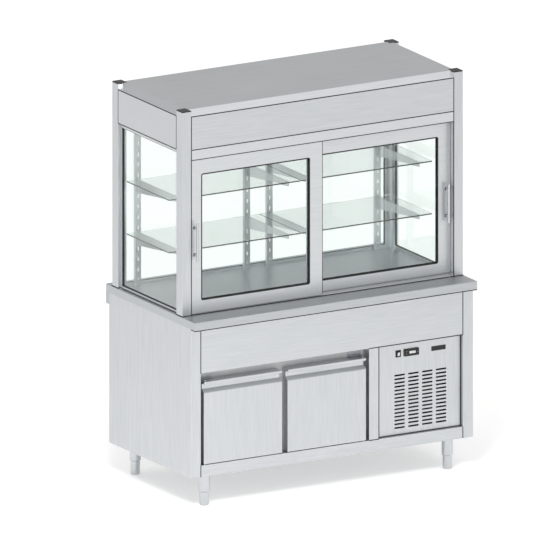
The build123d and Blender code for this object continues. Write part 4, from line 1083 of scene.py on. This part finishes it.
@dataclass
class ControlFace:
    """The controller's display window, the raised marks on its keys and the rocker's pale lens."""

    window: Pair = (0.034, 0.013)
    window_shift: float = 0.004
    window_sunk: float = 0.0015
    window_corner: float = 0.0008
    margin: float = 0.0003
    crown: float = 0.0006
    seat: float = 0.0002
    mark: float = 0.0042
    mark_rise: float = 0.00015
    lens: Pair = (0.011, 0.0165)
    lens_corner: float = 0.0015
    lens_below_tip: float = 0.001
    rocker_tilt: float = 12.0

    def crowned(self, u: Span, v: Span, corner: float, depth: float, edge: float) -> Shape:
        """Raise a shallow crowned cover over a rounded rectangle.

        Args:
            u: the span across.
            v: the span up.
            corner: the corners' radius.
            depth: where its plane stands.
            edge: the share by which the rounded edge draws in.

        Returns:
            The shape.
        """
        levels = [(0.0, -self.seat), (0.0, self.crown * 0.6), (edge, self.crown * 0.9), (0.3, self.crown)]
        return mound(Facing.FRONT.lift(rounded_loop(u, v, corner, 4), depth), Facing.FRONT, levels)

    def display_window(self) -> Shape:
        """Return the display film, in the controller's sunk window.

        Returns:
            The shape.
        """
        (x, _, z), front = corners("thermostat").mean(axis=0), corners("thermostat")[0, 1]
        u, v = around(x + self.window_shift, self.window[0]), around(z, self.window[1])
        u, v = shrunk(u, self.margin), shrunk(v, self.margin)
        return self.crowned(u, v, self.window_corner, front + self.window_sunk, 0.03)

    def rocker_lens(self) -> Shape:
        """Return the lens, sheared onto the rocker's tilted face below its raised tip.

        A point moves to the back by its distance below the tip times the tangent of the tilt.

        Returns:
            The shape.
        """
        box = corners("switch_rocker")
        tip = corners("switch_rocker", y=below(box[0, 1] + self.seat))
        z = tip[1, 2] - self.lens_below_tip - self.lens[1] / 2
        u, v = around(box[:, 0].mean(), self.lens[0]), around(z, self.lens[1])
        flat = self.crowned(u, v, self.lens_corner, tip[0, 1], 0.04)
        shear = (tip[1, 2] - flat.points[:, 2]) * math.tan(math.radians(self.rocker_tilt))
        return Shape(flat.points + np.outer(shear, (0, 1, 0)), flat.quads)

    def key_mark(self, node: str, loop: np.ndarray) -> Shape:
        """Return one raised mark on the middle of a key.

        Args:
            node: the key's name.
            loop: the mark's flat outline, in units of the mark's size.

        Returns:
            The shape.
        """
        box = corners(node)
        flat = np.asarray(loop) * self.mark + (box[:, 0].mean(), box[:, 2].mean())
        levels = [(0.0, -self.seat / 2), (0.0, self.mark_rise * 0.6), (0.12, self.mark_rise)]
        return mound(Facing.FRONT.lift(flat, box[0, 1]), Facing.FRONT, levels)

    def build(self) -> None:
        """Build the window, the lens, an arrow head on each of two keys and a dot on the third."""
        self.display_window().piece("thermostat_window", "root", DISPLAY_FILM, "light_plastic")
        self.rocker_lens().piece("switch_lens", "switch_rocker", WHITE_PVC, "light_plastic")
        arrow = np.array([(-0.5, -0.35), (0.5, -0.35), (0.0, 0.4)])
        marks = {"up_key": arrow, "down_key": arrow * (1, -1), "set_key": circle(0.32, 16)}
        for node, loop in marks.items():
            self.key_mark(node, loop).piece(f"{node}_mark", node, WHITE_PVC, "light_plastic")


@dataclass
class Screws:
    """Button-head screws with a sunk socket, where the panels are screwed together."""

    radius: float = 0.0045
    rise: float = 0.0022
    socket: float = 0.0013
    seat: float = 0.0003
    back_inset: float = 0.02
    back_columns: int = 7
    back_rows: int = 5
    ceiling_inset: float = 0.09
    ceiling_columns: int = 5
    ceiling_rows: Pair = (-0.245, 0.29)
    flange_over: float = 0.61
    flange_inset: float = 0.012

    def heads(self, spots: list[tuple[float, float, float]], facing: Facing) -> Shape:
        """Turn a head at every spot: a sunk floor, a socket wall and a dome that meets the sheet.

        Args:
            spots: where the heads stand.
            facing: which way they face.

        Returns:
            The shape.
        """
        r, h, s = self.radius, self.rise, self.socket
        dome = [(r * math.cos(t), h * math.sin(t)) for t in np.linspace(1.1, 0.0, 5)]
        floor = [(0.0, h * 0.35), (s, h * 0.35), (s * 1.05, h * 0.9)]
        profile = [*floor, *dome, (r, -self.seat), (0.0, -self.seat)]
        return revolve(profile, (0.0, 0.0, 0.0), facing.value, 18).copies(spots)

    def build_back(self) -> None:
        """Screw down the back panel along its four edges."""
        box = corners("back_panel")
        x = np.linspace(*shrunk(box[:, 0], self.back_inset), self.back_columns)
        z = np.linspace(*shrunk(box[:, 2], self.back_inset), self.back_rows)
        spots = [(a, box[1, 1], b) for a in x for b in (z[0], z[-1])]
        spots += [(a, box[1, 1], b) for a in (x[0], x[-1]) for b in z[1:-1]]
        self.heads(spots, Facing.REAR).piece("back_panel_screws", "root", ZINC, "zinc_bracket")

    def build_ceiling(self) -> None:
        """Screw up the display's ceiling panel in two rows."""
        box = corners("ceiling_panel")
        x = np.linspace(*shrunk(box[:, 0], self.ceiling_inset), self.ceiling_columns)
        heads = self.heads([(a, b, box[0, 2]) for a in x for b in self.ceiling_rows], Facing.UNDER)
        heads.piece("ceiling_panel_screws", "root", STEEL_TURNED, "stainless_steel")

    def build_hinges(self) -> None:
        """Screw on the upper flange of both hinge brackets with two screws each."""
        z = above(self.flange_over)
        flanges = [corners("hinge_brackets", x=half, z=z) for half in (below(0.0), above(0.0))]
        middles = [(box[:, 0].mean(), box[0, 1], box[1, 2] - self.flange_inset) for box in flanges]
        shifts = (-self.flange_inset, self.flange_inset)
        spots = [(x + shift, y, z) for x, y, z in middles for shift in shifts]
        self.heads(spots, Facing.FRONT).piece("hinge_bracket_screws", "root", ZINC, "zinc_bracket")

    def build(self) -> None:
        """Screw down the back panel, the ceiling panel and the hinge brackets."""
        self.build_back()
        self.build_ceiling()
        self.build_hinges()


@dataclass
class FanGuard:
    """Wire guard over a fan: rings round the motor, and spokes."""

    fan: str
    outlet: int
    first_ring: float = 0.038
    ring_step: float = 0.0115
    wire: float = 0.0011
    spokes: int = 4
    rim_gap: float = 0.013
    stand: float = 0.0055

    def build(self) -> None:
        """Carry the wire round each ring and lay thicker spokes across them at the diagonals."""
        box = corners(self.fan)
        x, middle, z = box.mean(axis=0)
        reach = (box[1] - box[0])[[0, 2]].max() / 2
        y = middle + self.outlet * (self.rim_gap + self.stand)
        radii = np.arange(self.first_ring, reach + self.ring_step, self.ring_step)
        paths = (Facing.FRONT.lift(circle(radius, 48) + (x, z), y) for radius in radii)
        rings = [carry(circle(self.wire, 6), path, Facing.FRONT, closed=True) for path in paths]
        turns = math.pi / 4 + np.arange(self.spokes) * 2 * math.pi / self.spokes
        ways = np.stack([np.cos(turns), 0 * turns, np.sin(turns)], axis=1)
        hub, ends = (x, y + self.outlet * 2 * self.wire, z), (self.first_ring * 0.9, radii[-1] + self.wire)
        spokes = [rod(hub + way * ends[0], hub + way * ends[1], self.wire * 1.4, 8) for way in ways]
        joined(rings + spokes).piece(f"{self.fan}_guard", "root", ZINC, "zinc_bracket", 60.0)


@dataclass
class CoilBends:
    """Copper return bends at both ends of a finned coil."""

    node: str
    pipe: float = 0.0045
    pitch: float = 0.025
    reach: float = 0.006
    leg: float = 0.001

    def bend(self, x: float, outward: int) -> Shape:
        """Return one return bend: a round tube along a half circle, with its legs in the end plate.

        Args:
            x: where the end plate stands.
            outward: the side to which the bend stands out, 1 or -1.

        Returns:
            The shape.
        """
        turn, half = np.linspace(-math.pi / 2, math.pi / 2, 9), self.pitch / 2
        arc = np.stack([x + outward * (self.reach + half * np.cos(turn)), half * np.sin(turn)], axis=1)
        root = x - outward * self.leg
        path = np.vstack([(root, -half), arc, (root, half)])
        return carry(circle(self.pipe, 10), Facing.TOP.lift(path, 0.0), Facing.TOP)

    def build(self) -> None:
        """Set as many bends in rows and columns at both ends as the coil's height and depth hold."""
        (x0, y0, z0), (x1, y1, z1) = corners(self.node)
        rows, pairs = int((z1 - z0) / self.pitch), int((y1 - y0) / (2 * self.pitch))
        ys = (y0 + y1) / 2 + self.pitch * (2 * np.arange(pairs) - (pairs - 1))
        zs = (z0 + z1) / 2 + self.pitch * (np.arange(rows) - (rows - 1) / 2)
        spots = [(0.0, y, z) for y in ys for z in zs]
        shape = self.bend(x0, -1).copies(spots) + self.bend(x1, 1).copies(spots)
        shape.piece(f"{self.node}_bends", "root", COPPER, "copper_pipe", 60.0)


@dataclass
class LampEnds:
    """End caps of the display's lamp."""

    length: float = 0.007
    nip: float = 0.0015
    lap: float = 0.0005

    def build(self) -> None:
        """Turn a cap with a nipped edge at each end of the lamp."""
        box = corners("lamp")
        radius, (_, y, z) = (box[1, 2] - box[0, 2]) / 2, box.mean(axis=0)
        profile = [(0.0, -self.lap), (radius, -self.lap), (radius, self.length - self.nip)]
        profile += [(radius - self.nip, self.length), (0.0, self.length)]
        cap = revolve(profile, (box[1, 0], y, z), Facing.SIDE.value, 32)
        (cap + cap.mirrored()).piece("lamp_end_caps", "root", WHITE_PVC, "light_plastic")


@dataclass
class CompressorFittings:
    """The compressor's weld seam, its clipped terminal cover and its rubber grommets."""

    can_over: float = 0.03
    seam_half: float = 0.0035
    seam_reach: float = 0.0045
    seam_root: float = 0.002
    seam_nip: float = 0.001
    cover_size: Pair = (0.052, 0.06)
    cover_lift: float = 0.006
    cover_corner: float = 0.008
    cover_root: float = 0.012
    cover_reach: float = 0.026
    foot_over: float = 0.004
    grommet: float = 0.0155
    groove: float = 0.001
    ribs: int = 5
    rib_step: float = 0.0015
    grommet_inset: float = 0.01
    grommet_lift: float = 0.0005

    def seam(self, radius: float) -> np.ndarray:
        """Return the seam's profile: a flat band with nipped edges, rooted in the can's wall.

        Args:
            radius: the can's radius.

        Returns:
            Rows of (radius, height).
        """
        root, r, h = radius - self.seam_root, radius + self.seam_reach, self.seam_half
        lower = np.array([(root, -h), (r - self.seam_nip, -h), (r, -h / 2)])
        return np.vstack([lower, lower[::-1] * (1, -1), lower[:1]])

    def cover(self, centre: np.ndarray, radius: float) -> Shape:
        """Raise the terminal cover on the can's left side: a box with a rounded face.

        Args:
            centre: the middle of the can.
            radius: the can's radius.

        Returns:
            The shape.
        """
        low = centre[2] + self.cover_lift
        y, z = around(centre[1], self.cover_size[0]), (low, low + self.cover_size[1])
        loop = Facing.SIDE.lift(rounded_loop(y, z, self.cover_corner), -centre[0] + radius)
        rounding = [(0.0, 0.004), (0.05, 0.001), (0.14, 0.0)]
        levels = [(0.0, -self.cover_root), *((share, self.cover_reach - drop) for share, drop in rounding)]
        return mound(loop, Facing.SIDE, levels).mirrored()

    def grommets(self) -> Shape:
        """Turn a ribbed grommet on each corner of the foot plate.

        Returns:
            The shape.
        """
        bottom = corners("compressor")[0, 2]
        foot = corners("compressor", z=below(bottom + self.foot_over))
        steps = np.arange(self.ribs)
        ribbed = np.stack([self.grommet - self.groove * (steps % 2 == 0), steps * self.rib_step], axis=1)
        profile = np.vstack([(0.0, 0.0), ribbed, (0.0, ribbed[-1, 1])])
        columns, rows = (shrunk(foot[:, axis], self.grommet_inset) for axis in (0, 1))
        spots = [(a, b, bottom + self.grommet_lift) for a in columns for b in rows]
        return revolve(profile, (0.0, 0.0, 0.0), Facing.TOP.value).copies(spots)

    def build(self) -> None:
        """Turn the seam about the can's axis, and build the cover and the grommets."""
        can = corners("compressor", z=above(corners("compressor")[0, 2] + self.can_over))
        centre, radius = can.mean(axis=0), (can[1, 0] - can[0, 0]) / 2
        seam = revolve(self.seam(radius), centre, Facing.TOP.value, 64)
        seam.piece("compressor_seam", "root", BLACK_LACQUER, "black_painted_steel")
        cover = self.cover(centre, radius)
        cover.piece("compressor_terminal_cover", "root", BLACK_ABS, "black_plastic")
        self.grommets().piece("compressor_grommets", "root", BLACK_EPDM, "rubber")


@dataclass
class CondenserFilterAndShade:
    """Washable filter mat over the condenser: a waffled sheet with a closed rim. Its dark mat is also
    painted shade, for the dark of the technical bay seen through the louvre slots.
    """

    gap: float = 0.0008
    thick: float = 0.003
    cell: float = 0.012
    wave: float = 0.0009
    margin: float = 0.004
    foot_margin: float = 0.016

    def rim(self, grid: np.ndarray) -> np.ndarray:
        """Return a grid's outer points, once round."""
        return np.vstack([grid[:, 0], grid[-1, 1:], grid[-2::-1, -1], grid[0, -2:0:-1]])

    def build(self) -> None:
        """Wave the front by the product of two sines, cell across and cell up, and close the rim behind."""
        box = corners("condenser")
        u, v = shrunk(box[:, 0], self.margin), (box[0, 2] + self.foot_margin, box[1, 2] - self.margin)
        step, turn, back = self.cell / 4, 2 * math.pi / self.cell, box[0, 1] - self.gap
        a, b = np.meshgrid(np.arange(*u, step), np.arange(*v, step), indexing="ij")
        front = back - self.thick + self.wave * np.sin(a * turn) * np.sin(b * turn)
        face, behind = np.stack([a, front, b], axis=-1), np.stack([a, 0 * a + back, b], axis=-1)
        edge = surface(np.stack([self.rim(face), self.rim(behind)]), loop_v=True)
        mat = surface(face) + surface(behind) + edge
        # Partly painted shade: the dark mat stands for the shade behind the louvre slots.
        mat.piece("condenser_filter_mat_and_bay_shade", "root", PILE, "black_plastic")


def build_pieces() -> None:
    """Build every piece that is added to the CAD nodes, one sub-assembly after the other."""
    parts = [GlazingSeals(), PanelJoints(), DoorBrush(), WorktopLipShade(), HandleRings(), BaseDoorGasket()]
    parts += [WireShelves(), ControlFace(), Screws()]
    parts += [FanGuard("condenser_fan", outlet=1), FanGuard("evaporator_fan", outlet=-1)]
    parts += [CoilBends(node) for node in ("base_evaporator", "display_evaporator", "condenser")]
    parts += [LampEnds(), CompressorFittings(), CondenserFilterAndShade()]
    for part in parts:
        part.build()


@dataclass
class Studio:
    """The plain pale floor, the soft light and the camera at the drawing's angle.

    In the camera's own view, across and rise place it to the right and up, and the frame's width is
    what the picture shows from side to side.
    """

    azimuth: float = -30.0
    elevation: float = 15.0
    across: float = -0.0766
    rise: float = 0.9026
    frame_width: float = 2.5305
    distance: float = 7.0
    view_end: float = 100.0
    floor_half: float = 60.0
    floor_lift: float = 0.35
    world_level: float = 0.75
    horizon: float = 0.5
    zenith: float = 1.5
    behind: float = 0.7
    key_power: float = 150.0
    key_size: float = 1.6
    key_spot: tuple[float, float, float] = (-2.6, -3.4, 4.6)
    key_tilt: float = 50.0
    key_turn: float = -37.0

    def build(self) -> None:
        """Make the camera, the floor, the world and the lamp."""
        self.make_camera()
        self.make_floor()
        self.make_world()
        self.make_lamp()
        bpy.context.scene.view_settings.view_transform = "Standard"

    def seen_rays(self, tree: Tree) -> Socket:
        """Return 1 for rays by which the background is seen, straight, in metal or through glass.

        Args:
            tree: the node tree of the floor's material or of the world.

        Returns:
            The socket.
        """
        path = add_node(tree, "LightPath").outputs
        seen = path["Is Camera Ray"]
        for ray in ("Is Glossy Ray", "Is Transmission Ray"):
            seen = add_node(tree, "Math", {"operation": "MAXIMUM"}, {0: seen, 1: path[ray]}).outputs[0]
        return seen

    def make_camera(self) -> None:
        """Place an orthographic camera, because the drawing is a parallel projection."""
        a, e = math.radians(self.azimuth), math.radians(self.elevation)
        back = np.array([math.sin(a) * math.cos(e), -math.cos(a) * math.cos(e), math.sin(e)])
        right = np.array([math.cos(a), math.sin(a), 0.0])
        up = np.cross(back, right)
        data = bpy.data.cameras.new("drawing_camera")
        data.type = "ORTHO"
        data.ortho_scale = self.frame_width
        data.clip_end = self.view_end
        camera = place("drawing_camera", data)
        camera.location = (right * self.across + up * self.rise + back * self.distance).tolist()
        camera.rotation_euler = (math.radians(90 - self.elevation), 0.0, a)
        bpy.context.scene.camera = camera

    def make_floor(self) -> None:
        """Lay the pale floor: matt white to the lamp, and white where nothing shades it."""
        mesh = bpy.data.meshes.new("floor")
        square = rounded_loop(around(0.0, 2 * self.floor_half), around(0.0, 2 * self.floor_half), 0.0)
        mesh.from_pydata(Facing.TOP.lift(square, 0.0).tolist(), [], [(0, 1, 2, 3)])
        made = bpy.data.materials.new("pale_floor")
        tree = empty_tree(made)
        matt = add_node(tree, "BsdfDiffuse", {"Color": linear("#F4F4F3")})
        share = {"operation": "MULTIPLY", 1: self.floor_lift}
        lift = add_node(tree, "Math", share, {0: self.seen_rays(tree)})
        glow = add_node(tree, "Emission", {"Color": linear("#FFFFFF")}, {"Strength": lift.outputs[0]})
        lit = add_node(tree, "AddShader", links={0: matt.outputs[0], 1: glow.outputs[0]})
        add_node(tree, "OutputMaterial", links={"Surface": lit.outputs[0]})
        mesh.materials.append(made)
        place("floor", mesh)

    def make_world(self) -> None:
        """Light the object from all round, and show more of it to camera, glossy and transmission rays.

        The room is paler overhead than at the horizon, and paler in front than behind, so that faces
        that meet at a corner differ in tone.
        """
        world = bpy.data.worlds.new("pale_studio")
        tree = empty_tree(world)
        way = add_node(tree, "TexCoord").outputs["Generated"]
        parts = add_node(tree, "SeparateXYZ", links={0: way}).outputs
        span = {"To Min": self.horizon, "To Max": self.zenith}
        rise = add_node(tree, "MapRange", span, {"Value": parts["Z"]}).outputs[0]
        ends = {"From Min": -1.0, "To Min": 1.0, "To Max": self.behind}
        front = add_node(tree, "MapRange", ends, {"Value": parts["Y"]}).outputs[0]
        tone = add_node(tree, "Math", {"operation": "MULTIPLY"}, {0: rise, 1: front}).outputs[0]
        light = add_node(tree, "Background", {"Strength": self.world_level}, {"Color": tone})
        shown = add_node(tree, "Background", {"Strength": 1.0}, {"Color": tone})
        either = {0: self.seen_rays(tree), 1: light.outputs[0], 2: shown.outputs[0]}
        mixed = add_node(tree, "MixShader", links=either)
        add_node(tree, "OutputWorld", links={"Surface": mixed.outputs[0]})
        bpy.context.scene.world = world

    def make_lamp(self) -> None:
        """Hang one soft round key lamp high on the left, which leaves the object's shadow on the floor."""
        data = bpy.data.lights.new("soft_key", "AREA")
        data.shape = "DISK"
        data.size = self.key_size
        data.energy = self.key_power
        lamp = place("soft_key", data)
        lamp.location = self.key_spot
        lamp.rotation_euler = (math.radians(self.key_tilt), 0.0, math.radians(self.key_turn))


def main() -> None:
    """Build the studio and the dressed display case."""
    logging.basicConfig(level=logging.INFO)
    dress_nodes()
    build_pieces()
    Studio().build()


if __name__ == "__main__":
    main()
